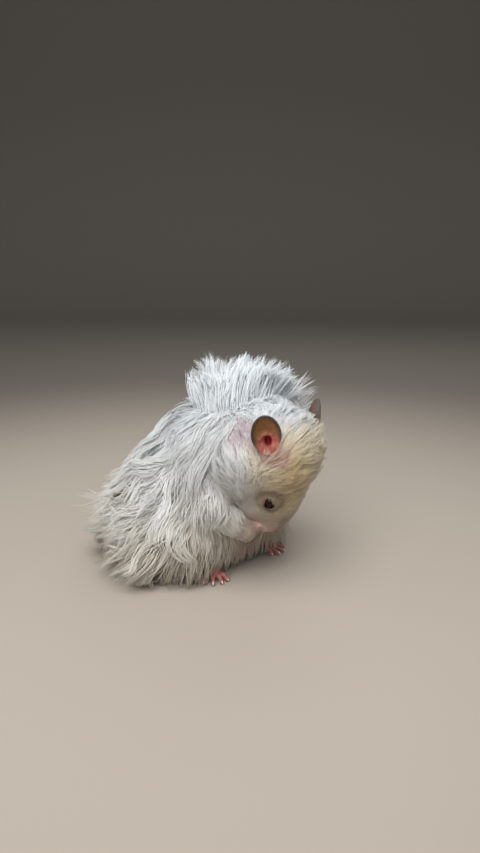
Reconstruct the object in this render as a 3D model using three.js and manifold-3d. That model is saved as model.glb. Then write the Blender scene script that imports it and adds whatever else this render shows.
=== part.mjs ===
// A long-haired Syrian hamster that sits hunched and washes its face: a still model at life size.
// Millimetres, +Z up. The animal faces -Y, so +X is its left side. It sits on the plane Z = 0, and the
// origin is on the flat that it sits on, on the body's midline. Each solid has its outer form with the
// coat on.
import * as THREE from "three";
import { mergeVertices } from "three/addons/utils/BufferGeometryUtils.js";
import Module from "manifold-3d";

const wasm = await Module();
wasm.setup();

const SIDES = [
  ["right", -1],
  ["left", 1],
];
const GAP = 0.35; // clearance left between two pieces that meet
const BODY_BLEND = 2.5; // how softly the large masses of flesh run into each other
const FACE_BLEND = 1.5;
const LOCK_TIP = 0.6; // thickness of a lock where it ends
const vec = (x, y, z) => new THREE.Vector3(x, y, z);

// ---------------------------------------------------------------- driving sizes

const head = {
  centre: vec(1.5, -40.3, 49.4),
  noseDown: 90, // degrees that the nose is dropped below the level
  turn: 3, // degrees that the face turns to the animal's left
  tilt: 5, // degrees that the left ear is raised
  coat: { behind: 3.4, muzzle: 0.7, from: -2, to: 18 }, // its depth, and where along the face it thins
};
const skull = { at: vec(0, -1, 0.5), radii: vec(14, 16, 13.5) }; // left, ahead, above in the head's axes
const bridge = { at: vec(0, 12, 0), radii: vec(9.5, 13, 9.5) };
const muzzle = { at: vec(0, 23.5, -3), radii: vec(5.8, 7, 5.8) };
const cheek = { at: vec(10.5, 2, -8), radii: vec(9, 13, 9) };
const jowl = { at: vec(6, 14, -6.5), radii: vec(6.5, 10, 5.5) };
const eye = { at: vec(8.2, 13.6, 3), radius: 3 };
const nosePad = { at: vec(0, 30.6, -2.6), radii: vec(2.1, 1.5, 1.7) };
const hood = { at: vec(0, 6, -1.5), radii: vec(24, 31, 19) }; // the cut behind the head
const ear = {
  root: { right: vec(12.8, -7.4, 7), left: vec(13.8, -5.2, 7.4) }, // the far ear is held a little lower
  up: vec(0.2, -1, 0.05), // the way it stands, in the head's axes
  out: vec(0.72, 0, 0.69), // the way its bowl opens
  width: 10.6,
  height: 15.6,
  wall: 1.1,
  cup: 3.2,
  sunk: 0.05, // part of the height that is sunk in the coat
};

const haunches = { at: vec(0, 5, 23), radii: vec(28, 22, 24) };
const barrel = { at: vec(0, -3, 37), radii: vec(24.5, 20, 21) };
const shoulders = { at: vec(0, -15, 48), radii: vec(20, 17, 16) };
const belly = { at: vec(0, -12, 25), radii: vec(20, 17, 20) };
const nape = { from: vec(0, -16, 50), to: vec(0, -6, -5), thick: 15, thin: 12 };
const thigh = { at: vec(19, -8, 14), radii: vec(11, 16, 14) };
const middle = vec(0, -6, 32); // the trunk is seen whole from here

const coat = {
  short: 1.5, // over the belly, chest and limbs
  back: 5.5, // more over the back
  sleek: 0.45, // part of that which is missing where the upper back lies flat
  crest: 8, // more again over the shoulders
  skirt: 7.5, // more again round the haunches
  ridges: 10, // locks that the skirt parts into
  ridgeDepth: 2,
};

const arm = {
  shoulder: vec(15, -18, 40),
  elbow: vec(16.5, -25, 32),
  shoulderRadius: 8.5,
  elbowRadius: 6,
  foreRadius: 6.5,
  wristRadius: 4.6,
  wrist: { right: vec(-7.8, -33.2, 21.2), left: vec(12.2, -32.8, 22) },
};
const paw = {
  aim: vec(3.5, 26.5, -6), // the place beside the muzzle that it reaches for, in the head's axes
  palm: 3.6, // length
  radii: [3.1, 2.8], // at the wrist and at the knuckles
  digits: [3.9, 4.5, 4.5, 3.9], // lengths with their claws
  digitRadius: 1,
  apart: 1.4, // from one digit to the next
  pocket: 3.4, // how far past the palm the room that is kept clear for it reaches
};
const foot = {
  toe: { right: vec(-19.5, -28, 0), left: vec(22.5, -28.5, 0) }, // tip of the middle toe
  splay: { right: 44, left: 22 }, // degrees that the foot points away from straight ahead
  sole: 9,
  width: 3.2,
  toes: [5.6, 7.4, 8, 7.4, 5.6], // lengths with their claws
  fan: 19, // degrees from one toe to the next
  toeRadius: 1.05,
  apart: 1.25, // from one toe's root to the next
  rootHeight: 1.7,
  tipHeight: 0.5,
};
const tail = { root: vec(0, 22, 11), tip: vec(0, 40, 6.5), radius: 2.4, tipRadius: 1.1 };

// The planes that part the trunk. The first solid that each gives lies where its normal points.
const seams = {
  waist: { at: vec(0, 0, 29), normal: vec(0, -0.1, 1) },
  shoulder: { at: vec(0, -14, 0), normal: vec(0, -1, 0) },
  throat: { at: vec(0, -20, 48), normal: vec(0, -0.3, 1) },
  hip: { at: vec(0, -5, 0), normal: vec(0, -1, 0) },
  armRight: { at: vec(-10, 0, 0), normal: vec(-1, 0, 0) },
  armLeft: { at: vec(10, 0, 0), normal: vec(1, 0, 0) },
  thighRight: { at: vec(-11, 0, 0), normal: vec(-1, 0, 0) },
  thighLeft: { at: vec(11, 0, 0), normal: vec(1, 0, 0) },
};

// ---------------------------------------------------------------- fields: negative inside, distance outside

// Distance to an ellipsoid. axes holds its three unit axes where it is turned.
function ellipsoid(at, radii, axes) {
  const d = vec();
  return (p) => {
    d.subVectors(p, at);
    if (axes) d.set(d.dot(axes[0]), d.dot(axes[1]), d.dot(axes[2]));
    const k0 = Math.hypot(d.x / radii.x, d.y / radii.y, d.z / radii.z);
    const k1 = Math.hypot(d.x / radii.x ** 2, d.y / radii.y ** 2, d.z / radii.z ** 2);
    return (k0 * (k0 - 1)) / Math.max(k1, 1e-9);
  };
}

// Distance to a rod with round ends that tapers from one radius to another.
function taper(from, to, fromRadius, toRadius) {
  const along = to.clone().sub(from);
  const d = vec();
  return (p) => {
    const t = THREE.MathUtils.clamp(d.subVectors(p, from).dot(along) / along.lengthSq(), 0, 1);
    return d.addScaledVector(along, -t).length() - THREE.MathUtils.lerp(fromRadius, toRadius, t);
  };
}

// The union of several fields with soft creases.
function blend(softness, ...fields) {
  return (p) => {
    const d = fields.map((field) => field(p));
    const least = Math.min(...d);
    return least - softness * Math.log(d.reduce((sum, x) => sum + Math.exp((least - x) / softness), 0));
  };
}

const step = (low, high, x) => THREE.MathUtils.smoothstep(x, low, high);

// ---------------------------------------------------------------- the head's own axes: left, nose, crown

const headTurn = new THREE.Quaternion()
  .setFromAxisAngle(vec(0, 0, 1), THREE.MathUtils.degToRad(head.turn))
  .multiply(new THREE.Quaternion().setFromAxisAngle(vec(0, -1, 0), THREE.MathUtils.degToRad(head.tilt)))
  .multiply(new THREE.Quaternion().setFromAxisAngle(vec(1, 0, 0), THREE.MathUtils.degToRad(head.noseDown)));
const headAxes = [vec(1, 0, 0), vec(0, -1, 0), vec(0, 0, 1)].map((a) => a.applyQuaternion(headTurn));

// The point that lies this far to the left, towards the nose and towards the crown of the head's centre.
function onHead(left, ahead, above) {
  return head.centre
    .clone()
    .addScaledVector(headAxes[0], left)
    .addScaledVector(headAxes[1], ahead)
    .addScaledVector(headAxes[2], above);
}

// ---------------------------------------------------------------- masses of flesh and their coat

// The same place on the other side of the body for side -1.
const mirrored = (p, side) => vec(p.x * side, p.y, p.z);
const onHeadAt = (p, side = 1) => onHead(p.x * side, p.y, p.z);

const headMass = (mass, side = 1) => ellipsoid(onHeadAt(mass.at, side), mass.radii, headAxes);
const headField = blend(
  FACE_BLEND,
  ...[skull, bridge, muzzle].map((mass) => headMass(mass)),
  ...SIDES.flatMap(([, s]) => [headMass(cheek, s), headMass(jowl, s)]),
);
const trunkField = blend(
  BODY_BLEND,
  ...[haunches, barrel, shoulders, belly].map((mass) => ellipsoid(mass.at, mass.radii)),
  taper(nape.from, onHeadAt(nape.to), nape.thick, nape.thin),
  ...SIDES.map(([, s]) => ellipsoid(mirrored(thigh.at, s), thigh.radii)),
  ...SIDES.map(([, s]) =>
    taper(mirrored(arm.shoulder, s), mirrored(arm.elbow, s), arm.shoulderRadius, arm.elbowRadius),
  ),
);

// The head's coat thins from the nape to the muzzle, and lies flat round the eyes.
function headCoat(p) {
  const ahead = p.clone().sub(head.centre).dot(headAxes[1]);
  const nearEye = Math.min(...SIDES.map(([, s]) => p.distanceTo(onHeadAt(eye.at, s))));
  const { behind, muzzle: fine, from, to } = head.coat;
  const depth = THREE.MathUtils.lerp(behind, fine, step(from, to, ahead));
  return depth * step(0.8 * eye.radius, 2.2 * eye.radius, nearEye);
}

// The trunk's coat is short in front, long over the back but flatter on its upper half, longer over the
// shoulders, and longest in the skirt round the haunches, which parts into ridges and turns under where it
// meets the floor.
function trunkCoat(p) {
  const behind = step(-26, -10, p.y) * (1 - coat.sleek * step(38, 52, p.z));
  const top = step(55, 68, p.z) * step(-40, -24, p.y) * (1 - step(0, 18, p.y));
  const hem = step(-32, -14, p.y) * (1 - step(3, 36, p.z)) * step(0.5, 4, p.z);
  const round = Math.atan2(p.x, p.y - middle.y);
  const ridge = Math.abs(Math.sin((coat.ridges / 2) * round));
  return (
    coat.short +
    coat.back * behind * step(0, 10, p.z) +
    coat.crest * top +
    hem * (coat.skirt + coat.ridgeDepth * ridge)
  );
}

const furryHead = (p) => headField(p) - headCoat(p);
const furryTrunk = (p) => trunkField(p) - trunkCoat(p);

// The head with what lies of the nape and chest inside the hood, the rounded cut behind the head.
const hoodField = ellipsoid(onHeadAt(hood.at), hood.radii, headAxes);
const hoodedHead = (p) => Math.max(Math.min(furryHead(p), furryTrunk(p)), hoodField(p));

// ---------------------------------------------------------------- solids

// A geometry with nothing but its places, and one vertex where several coincide.
function sewn(geometry) {
  const bare = geometry.clone();
  for (const name of ["normal", "uv"]) bare.deleteAttribute(name);
  return mergeVertices(bare, 1e-4);
}

// A closed and sewn geometry as a manifold-3d solid.
function solidOf(geometry) {
  return new wasm.Manifold(
    new wasm.Mesh({
      numProp: 3,
      vertProperties: geometry.attributes.position.array,
      triVerts: new Uint32Array(geometry.index.array),
    }),
  );
}

// A ball drawn out from its centre to where a field reaches the level `grow`. The poles lie along `pole`.
function wrap(field, centre, around, along, grow = 0, pole = vec(0, 0, 1), reach = 70) {
  const ball = sewn(new THREE.SphereGeometry(1, around, along));
  const turn = new THREE.Quaternion().setFromUnitVectors(vec(0, 1, 0), pole);
  const place = ball.attributes.position;
  const ray = vec();
  const p = vec();
  for (let i = 0; i < place.count; i++) {
    ray.fromBufferAttribute(place, i).applyQuaternion(turn).normalize();
    let [inside, outside] = [0, reach];
    for (let r = 1; r < reach; r += 1) {
      if (field(p.copy(centre).addScaledVector(ray, r)) > grow) {
        outside = r;
        break;
      }
      inside = r;
    }
    for (let halving = 0; halving < 14; halving++) {
      const between = (inside + outside) / 2;
      if (field(p.copy(centre).addScaledVector(ray, between)) > grow) outside = between;
      else inside = between;
    }
    place.setXYZ(i, ...p.copy(centre).addScaledVector(ray, inside).toArray());
  }
  return solidOf(ball);
}

// A rod along a bent line, whose section's radius follows a profile from 0 to 1 along it.
// It is a closed cylinder with its rings moved onto the curve. `flatten` thins it from above.
function bentRod(curve, radiusAt, sides, rings, flatten = 1) {
  const rod = sewn(new THREE.CylinderGeometry(1, 1, 1, sides, rings + 1, false));
  const place = rod.attributes.position;
  const up = vec(0, 0, 1);
  for (let i = 0; i < place.count; i++) {
    const t = THREE.MathUtils.clamp(0.5 - place.getY(i), 0, 1);
    const ahead = curve.getTangent(t);
    const across = vec().crossVectors(ahead, up);
    if (across.lengthSq() < 1e-6) across.set(1, 0, 0);
    across.normalize();
    const over = vec().crossVectors(across, ahead);
    const r = radiusAt(t);
    const p = curve.getPoint(t);
    p.addScaledVector(across, place.getX(i) * r).addScaledVector(over, place.getZ(i) * r * flatten);
    place.setXYZ(i, p.x, p.y, p.z);
  }
  return facingOut(rod);
}

// A closed surface as a solid, with its faces turned round if they point inwards.
function facingOut(geometry) {
  const made = solidOf(geometry);
  if (made.volume() > 0) return made;
  const index = geometry.index.array;
  for (let i = 0; i < index.length; i += 3) [index[i + 1], index[i + 2]] = [index[i + 2], index[i + 1]];
  return solidOf(geometry);
}

// The largest of a solid's separate bodies: cuts can leave crumbs.
function whole(solid) {
  return solid.decompose().reduce((a, b) => (b.volume() > a.volume() ? b : a));
}

// What lies on the side of a plane that its normal points to, as a large box.
function halfSpace(point, normal) {
  const size = 300;
  const n = normal.clone().normalize();
  const box = sewn(new THREE.BoxGeometry(size, size, size));
  box.applyQuaternion(new THREE.Quaternion().setFromUnitVectors(vec(0, 0, 1), n));
  const centre = point.clone().addScaledVector(n, size / 2);
  box.translate(centre.x, centre.y, centre.z);
  return solidOf(box);
}

// Cuts a solid in two along a seam, with a thin gap: [the side that the normal points to, the other].
function part(solid, { at, normal }) {
  const n = normal.clone().normalize();
  const ahead = halfSpace(at.clone().addScaledVector(n, GAP / 2), n);
  const behind = halfSpace(at.clone().addScaledVector(n, -GAP / 2), n.clone().negate());
  return [solid.intersect(ahead), solid.intersect(behind)];
}

// A solid as a named mesh with its material.
function mesh(name, solid, material) {
  const { vertProperties, triVerts } = whole(solid).getMesh();
  const geometry = new THREE.BufferGeometry()
    .setAttribute("position", new THREE.BufferAttribute(new Float32Array(vertProperties), 3))
    .setIndex(new THREE.BufferAttribute(new Uint32Array(triVerts), 1));
  geometry.computeVertexNormals();
  const made = new THREE.Mesh(geometry, material);
  made.name = name;
  return made;
}

const aboveFloor = halfSpace(vec(0, 0, 0), vec(0, 0, 1)); // nothing reaches below the floor

// ---------------------------------------------------------------- head, eyes, nose and ears

const noseWay = headAxes[1];
const backWay = noseWay.clone().negate();

// A direction given in the head's axes, mirrored for side -1.
const headWay = (way, side) => onHeadAt(way, side).sub(head.centre).normalize();

const headForm = (grow) => wrap(hoodedHead, onHead(0, 4, -2), 24, 13, grow, backWay, 45);

// An ellipsoid at a place on the head, lying along the head's axes.
function beadForm(at, radii, grow) {
  return wrap(ellipsoid(at, radii, headAxes), at, 10, 6, grow, noseWay);
}
const eyeForm = (s, grow) => beadForm(onHeadAt(eye.at, s), vec(1, 1, 1).multiplyScalar(eye.radius), grow);
const noseForm = (grow) => beadForm(onHeadAt(nosePad.at), nosePad.radii, grow);

// An ear is a shallow bowl, drawn out to an oval, that stands on one end and opens ahead and aside.
// With `room` it is the swollen form of the bowl and all that it holds.
function earForm(side, s, room = 0) {
  const rim = ear.width / 2 + room;
  const lip = ear.wall * 0.4 + room;
  const quarterOval = (radius, depth, lift) =>
    Array.from({ length: 5 }, (_, i) => {
      const a = (i / 4) * (Math.PI / 2);
      return new THREE.Vector2(i ? radius * Math.sin(a) : 0, lift - depth * Math.cos(a));
    });
  const outside = quarterOval(rim, ear.cup + room, 0);
  const inside = room
    ? [new THREE.Vector2(rim, lip), new THREE.Vector2(0, lip)]
    : quarterOval(rim - ear.wall * 0.6, ear.cup - ear.wall * 0.6, lip).reverse();
  const bowl = sewn(new THREE.LatheGeometry([...outside, ...inside], 12));
  bowl.scale(1, 1, ear.height / ear.width);
  // In the bowl's own frame +Y leads out of its mouth and +Z up the ear.
  const up = headWay(ear.up, s);
  const out = headWay(ear.out, s);
  out.addScaledVector(up, -out.dot(up)).normalize();
  const across = vec().crossVectors(out, up);
  bowl.applyMatrix4(new THREE.Matrix4().makeBasis(across, out, up));
  const at = onHeadAt(ear.root[side], s).addScaledVector(up, ear.height * (0.5 - ear.sunk));
  bowl.translate(at.x, at.y, at.z);
  return facingOut(bowl);
}

// ---------------------------------------------------------------- limbs

function foreArmForm(side, s, grow) {
  const elbow = mirrored(arm.elbow, s);
  const wrist = arm.wrist[side];
  const pole = wrist.clone().sub(elbow).normalize();
  const rod = taper(elbow, wrist, arm.foreRadius, arm.wristRadius);
  return wrap(rod, elbow.clone().lerp(wrist, 0.5), 11, 7, grow, pole, 25);
}

// A digit with its claw: a rod that arches over its joint, narrows and ends in a thin claw.
function digit(root, tip, radius, arch, grow) {
  const line = tip.clone().sub(root);
  const knuckle = root.clone().addScaledVector(line, 0.45);
  knuckle.z += arch;
  const nail = root.clone().addScaledVector(line, 0.8);
  nail.z += arch * 0.4;
  const curve = new THREE.CatmullRomCurve3([root, knuckle, nail, tip]);
  const flesh = (t) => radius * (1 - 0.25 * t);
  const claw = (t) => radius * THREE.MathUtils.lerp(0.5, 0.28, (t - 0.8) / 0.2);
  return bentRod(curve, (t) => (t < 0.8 ? flesh(t) : claw(t)) + grow, 5, 2);
}

// A hind foot: a sole from the heel to the ball, and five spread toes.
function hindFootForm(side, s, grow) {
  const splay = THREE.MathUtils.degToRad(foot.splay[side]) * s;
  const ahead = vec(Math.sin(splay), -Math.cos(splay), 0);
  const aside = vec(Math.cos(splay), Math.sin(splay), 0);
  const ball = foot.toe[side].clone().addScaledVector(ahead, -foot.toes[2]);
  ball.z = foot.width * 0.8;
  const heel = ball.clone().addScaledVector(ahead, -foot.sole);
  const sole = taper(heel, ball, foot.width, foot.width);
  let made = wrap(sole, heel.clone().lerp(ball, 0.5), 10, 6, grow, ahead, 20);
  foot.toes.forEach((length, i) => {
    const fan = splay + THREE.MathUtils.degToRad((i - 2) * foot.fan);
    const way = vec(Math.sin(fan), -Math.cos(fan), 0);
    const root = ball.clone().addScaledVector(aside, (i - 2) * foot.apart).setZ(foot.rootHeight);
    const tip = root.clone().addScaledVector(way, length).setZ(foot.tipHeight);
    made = made.add(digit(root, tip, foot.toeRadius, 0.9, grow));
  });
  return made.intersect(aboveFloor);
}

// A forepaw: a small palm and four digits that close on the muzzle. The pocket that the rest of the body
// keeps clear for it is a plain mitten.
function forePawForm(side, s, pocket = false) {
  const wrist = arm.wrist[side];
  const way = onHeadAt(paw.aim, s).sub(wrist).normalize();
  const across = vec().crossVectors(way, vec(0, 0, 1)).normalize();
  const palm = wrist.clone().addScaledVector(way, paw.palm);
  const [thick, thin] = paw.radii;
  if (pocket) {
    const tips = palm.clone().addScaledVector(way, paw.pocket);
    return wrap(taper(wrist, tips, thick, thick), palm, 10, 6, 2 * GAP, way, 14);
  }
  let made = wrap(taper(wrist, palm, thick, thin), palm.clone().lerp(wrist, 0.4), 10, 6, 0, way, 12);
  paw.digits.forEach((length, i) => {
    const spread = (i - 1.5) * paw.apart;
    const root = palm.clone().addScaledVector(across, spread);
    const tip = root.clone().addScaledVector(way, length).addScaledVector(across, spread * 0.2);
    made = made.add(digit(root, tip, paw.digitRadius, 0.4, 0));
  });
  return made;
}

function tailForm(grow) {
  const bend = tail.root.clone().lerp(tail.tip, 0.5).setZ(tail.root.z);
  const curve = new THREE.CatmullRomCurve3([tail.root, bend, tail.tip]);
  return bentRod(curve, (t) => THREE.MathUtils.lerp(tail.radius, tail.tipRadius, t) + grow, 8, 4);
}

// ---------------------------------------------------------------- locks of the long coat

// A lock leaves the coat at `root` along `way`, ends `bend` higher or lower, and narrows to a tip.
function lock(root, way, length, width, bend) {
  const end = root.clone().addScaledVector(way, length);
  const halfway = root.clone().lerp(end, 0.55);
  end.z = Math.max(end.z + bend, LOCK_TIP);
  halfway.z = Math.max(halfway.z - bend * 0.25, LOCK_TIP + width * 0.3);
  const start = root.clone().addScaledVector(way, -width * 0.6);
  const curve = new THREE.CatmullRomCurve3([start, root, halfway, end]);
  return bentRod(curve, (t) => LOCK_TIP / 2 + (width / 2) * (1 - t ** 1.6), 5, 2, 0.5);
}

// The place where a ray leaves the trunk's coat.
function coatAt(from, way) {
  let r = 2;
  while (r < 70 && furryTrunk(from.clone().addScaledVector(way, r)) < -0.6) r += 0.4;
  return from.clone().addScaledVector(way, r);
}

// Locks round the skirt, from one thigh round the rump to the other, at two heights by turns.
function skirtLocks() {
  const locks = [];
  const heights = [4, 15];
  const count = 16; // even, so that none grows over the tail
  for (let i = 0; i < count; i++) {
    const round = THREE.MathUtils.degToRad(THREE.MathUtils.lerp(-128, 112, i / (count - 1)));
    const way = vec(Math.sin(round), Math.cos(round), 0);
    const root = coatAt(vec(0, 0, heights[i % 2]), way).addScaledVector(way, -2.5);
    locks.push(lock(root, way.clone().setZ(-0.8).normalize(), 12.5, 13, 1 + 2 * (i % 2)));
  }
  return locks;
}

// The tousled crest over the shoulders: rings of locks that stand up round a whorl on the midline, and
// a row of longer ones that the nape throws out past the left ear.
function crestLocks() {
  const locks = [];
  const whorl = vec(0, -15, 45);
  const rings = [
    { count: 4, rise: 79, length: 10.5 },
    { count: 7, rise: 64, length: 12 },
  ];
  const ray = (around, rise) =>
    vec(Math.sin(around) * Math.cos(rise), Math.cos(around) * Math.cos(rise), Math.sin(rise));
  rings.forEach(({ count, rise, length }, ring) => {
    for (let i = 0; i < count; i++) {
      const around = ((i + 0.5 * ring) / count) * 2 * Math.PI;
      if (ring > 0 && Math.cos(around) < -0.8) continue; // the head is there
      const way = ray(around, THREE.MathUtils.degToRad(rise));
      locks.push(lock(coatAt(whorl, way).addScaledVector(way, -3), way, length, 13, 1));
    }
  });
  for (const [around, rise] of [
    [70, 40],
    [95, 48],
    [118, 36],
    [128, 50],
  ]) {
    const way = ray(THREE.MathUtils.degToRad(around), THREE.MathUtils.degToRad(rise));
    const thrown = way.clone().add(vec(0.35, -0.6, -0.3)).normalize();
    locks.push(lock(coatAt(whorl, way).addScaledVector(way, -3), thrown, 21, 12, -1));
  }
  return locks;
}

// ---------------------------------------------------------------- materials

const matte = (colour, roughness = 0.9) =>
  new THREE.MeshStandardMaterial({ color: colour, roughness, metalness: 0 });
const whiteCoat = matte(0xe9e7e1);
const creamCoat = matte(0xe6ddc6);
const bareSkin = matte(0xd9a6a0, 0.6);
const earSkin = matte(0x6d5a50, 0.7);
const eyeGloss = matte(0x120b08, 0.1);

// ---------------------------------------------------------------- the animal

const hamster = new THREE.Group();
const taken = []; // swollen forms of the pieces in place: later pieces are cut by them

function place(name, solid, material, swollen) {
  const cut = taken.reduce((left, piece) => left.subtract(piece), solid);
  hamster.add(mesh(name, cut, material));
  if (swollen) taken.push(swollen);
}

for (const [side, s] of SIDES) place(`eye_${side}`, eyeForm(s, 0), eyeGloss, eyeForm(s, GAP));
place("nose", noseForm(0), bareSkin, noseForm(GAP));
for (const [side, s] of SIDES) {
  place(`forepaw_${side}`, forePawForm(side, s), bareSkin, forePawForm(side, s, true));
  place(`forearm_${side}`, foreArmForm(side, s, 0), creamCoat, foreArmForm(side, s, GAP));
  place(`hind_foot_${side}`, hindFootForm(side, s, 0), bareSkin, hindFootForm(side, s, GAP));
}
place("tail", tailForm(0), bareSkin, tailForm(GAP));
place("head", headForm(0), creamCoat, headForm(GAP));
for (const [side, s] of SIDES) place(`ear_${side}`, earForm(side, s), earSkin, earForm(side, s, GAP));

// The trunk and its locks are joined first and then parted along the seams, as one body is.
let body = wrap(furryTrunk, middle, 36, 14);
for (const tuft of [...skirtLocks(), ...crestLocks()]) body = body.add(tuft);
const [upper, lower] = part(body.intersect(aboveFloor), seams.waist);
const [front, back] = part(upper, seams.shoulder);
const [neck, breast] = part(front, seams.throat);
const [seat, rump] = part(lower, seams.hip);
const [armRight, besideArm] = part(breast, seams.armRight);
const [armLeft, chest] = part(besideArm, seams.armLeft);
const [thighRight, besideThigh] = part(seat, seams.thighRight);
const [thighLeft, underside] = part(besideThigh, seams.thighLeft);

place("neck", neck, whiteCoat);
place("back", back, whiteCoat);
place("chest", chest, whiteCoat);
place("upper_arm_right", armRight, whiteCoat);
place("upper_arm_left", armLeft, whiteCoat);
place("thigh_right", thighRight, whiteCoat);
place("thigh_left", thighLeft, whiteCoat);
place("belly", underside, whiteCoat);
place("rump", rump, whiteCoat);

export default hamster;
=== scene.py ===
"""A long-haired Syrian hamster that sits hunched and washes its face, dressed over its fixed frame.

Lengths in the classes are millimetres in the frame's own axes: +X is the animal's left, -Y its front and
+Z up. They become metres where a mesh is made. A field is a function of points that is negative inside a
form, nought on its surface and about the distance to it outside.
"""

import logging
import math
from dataclasses import dataclass, field
from enum import Enum
from functools import partial
from typing import Callable

import bpy
import numpy as np
from mathutils import Matrix


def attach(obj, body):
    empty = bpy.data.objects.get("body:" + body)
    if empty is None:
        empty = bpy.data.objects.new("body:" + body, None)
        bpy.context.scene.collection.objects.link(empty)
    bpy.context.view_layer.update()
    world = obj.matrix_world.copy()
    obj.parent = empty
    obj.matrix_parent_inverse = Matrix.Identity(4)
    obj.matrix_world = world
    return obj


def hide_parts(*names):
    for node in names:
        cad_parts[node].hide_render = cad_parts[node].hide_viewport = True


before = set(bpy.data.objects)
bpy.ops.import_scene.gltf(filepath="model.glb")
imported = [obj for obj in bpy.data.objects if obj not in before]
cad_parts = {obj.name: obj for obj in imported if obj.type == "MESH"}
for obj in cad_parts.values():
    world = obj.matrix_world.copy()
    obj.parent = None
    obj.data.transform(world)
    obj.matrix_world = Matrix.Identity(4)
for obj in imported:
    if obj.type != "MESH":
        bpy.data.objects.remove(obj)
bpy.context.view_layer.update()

logging.basicConfig(level=logging.INFO, format="%(message)s")
log = logging.getLogger("hamster")

MM = 0.001
Array = np.ndarray
Field = Callable[[Array], Array]
Density = Callable[[Array, Array], Array]
Chain = tuple[Array, Array, Array, Array, float]
Triple = tuple[float, float, float]
Colour = tuple[int, int, int]


class Side(Enum):
    """A side of the animal, valued by the sign of X there."""

    RIGHT = -1
    LEFT = 1


class Zone(Enum):
    """The parts of the skin that carry different hair and colour."""

    TRUNK = 0
    HEAD = 1
    FOREARM = 2
    PAW = 3
    FOOT = 4
    TAIL = 5
    EAR = 6
    NOSE = 7


def on(z: Array, *zones: Zone) -> Array:
    """One where a place is in any of the zones, and nought elsewhere."""
    return np.isin(z, [zone.value for zone in zones]) * 1.0


# ------------------------------------------------------------------ arithmetic on whole arrays


def vec(*numbers: float) -> Array:
    """The numbers as an array of floats."""
    return np.array(numbers, float)


def unit(v: Array) -> Array:
    """Each vector divided by its length."""
    return v / np.maximum(np.linalg.norm(v, axis=-1, keepdims=True), 1e-9)


def dot(a: Array, b: Array) -> Array:
    """Scalar products along the last axis, which is kept with length one."""
    return (a * b).sum(-1, keepdims=True)


def step(low: float, high: float, x: Array) -> Array:
    """A smooth rise from nought at low to one at high: 3t^2 - 2t^3."""
    t = np.clip((np.asarray(x, float) - low) / (high - low), 0, 1)
    return t * t * (3 - 2 * t)


def mix(a: Array, b: Array, share: Array) -> Array:
    """a where share is nought and b where it is one."""
    return a + (b - a) * share


def ellipsoid(p: Array, centre: Array, radii: Array, axes: Array | None = None) -> Array:
    """Distance to an ellipsoid: k(k-1)/m, with k and m the lengths of d/radii and d/radii^2.

    Args:
        p: points, one a row.
        centre: its centre.
        radii: its three half-axes.
        axes: rows of unit vectors that they lie along, where it is turned.
    Returns:
        One distance a point.
    """
    d = p - centre
    if axes is not None:
        d = d @ axes.T
    k = np.linalg.norm(d / radii, axis=-1)
    m = np.linalg.norm(d / np.square(radii), axis=-1)
    return k * (k - 1) / np.maximum(m, 1e-9)


def rod(p: Array, start: Array, end: Array, start_radius: float, end_radius: float) -> Array:
    """Distance to a round-ended rod: distance to the line between the ends, less a radius that tapers.

    Args:
        p: points, one a row.
        start: middle of one end.
        end: middle of the other.
        start_radius: radius at the first.
        end_radius: radius at the other.
    Returns:
        One distance a point.
    """
    line = end - start
    t = np.clip((p - start) @ line / (line @ line), 0, 1)
    return np.linalg.norm(p - start - t[:, None] * line, axis=-1) - (
        start_radius + (end_radius - start_radius) * t
    )


def union(softness: float, *fields: Array) -> Array:
    """The soft least of several fields: -s log(sum exp(-d/s)).

    Args:
        softness: how far the join reaches.
        fields: the fields, worked out at the same points.
    Returns:
        One distance a point.
    """
    least = fields[0]
    for d in fields[1:]:
        least = np.minimum(least, d)
    return least - softness * np.log(sum(np.exp((least - d) / softness) for d in fields))


def without(softness: float, whole: Array, cut: Array) -> Array:
    """A form with another one carved out of it, with a soft edge."""
    return -union(softness, -whole, cut)


def gradient(shape: Field, p: Array, reach: float = 0.25) -> Array:
    """Unit outward direction of a field, from its values at the corners of a small tetrahedron."""
    corners = np.array([(1, -1, -1), (-1, -1, 1), (-1, 1, -1), (1, 1, 1)], float)
    return unit(sum(c * shape(p + c * reach)[:, None] for c in corners))


def near(p: Array, centre: Array, radius: float, shape: Field, far: float = 6.0) -> Array:
    """A field worked out only within a ball, and about the distance to the ball outside it.

    Args:
        p: points, one a row.
        centre: middle of the ball.
        radius: its radius.
        shape: the field.
        far: the most that it may say inside the ball.
    Returns:
        One distance a point.
    """
    away = np.linalg.norm(p - centre, axis=-1)
    out = np.maximum(away - radius + 1.0, 1.0)
    inside = away < radius
    if inside.any():
        out[inside] = np.minimum(shape(p[inside]), far)
    return out


def linear(*colour: float) -> Array:
    """An sRGB colour of 0 to 255 as linear light."""
    c = np.array(colour, float) / 255
    return np.where(c <= 0.04045, c / 12.92, ((c + 0.055) / 1.055) ** 2.4)


def waves(p: Array, size: float, seed: int) -> Array:
    """A smooth pattern from -1 to 1: the mean of five plane sine waves in seeded directions.

    Args:
        p: points.
        size: length of the waves.
        seed: picks the directions and phases.
    Returns:
        One value a point.
    """
    rng = np.random.default_rng(seed)
    ways = unit(rng.normal(size=(5, 3))) * (2 * math.pi / size) * rng.uniform(0.6, 1.5, (5, 1))
    return np.sin(p @ ways.T + rng.uniform(0, 2 * math.pi, 5)).mean(-1) * 1.6


# ------------------------------------------------------------------ the flesh


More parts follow.
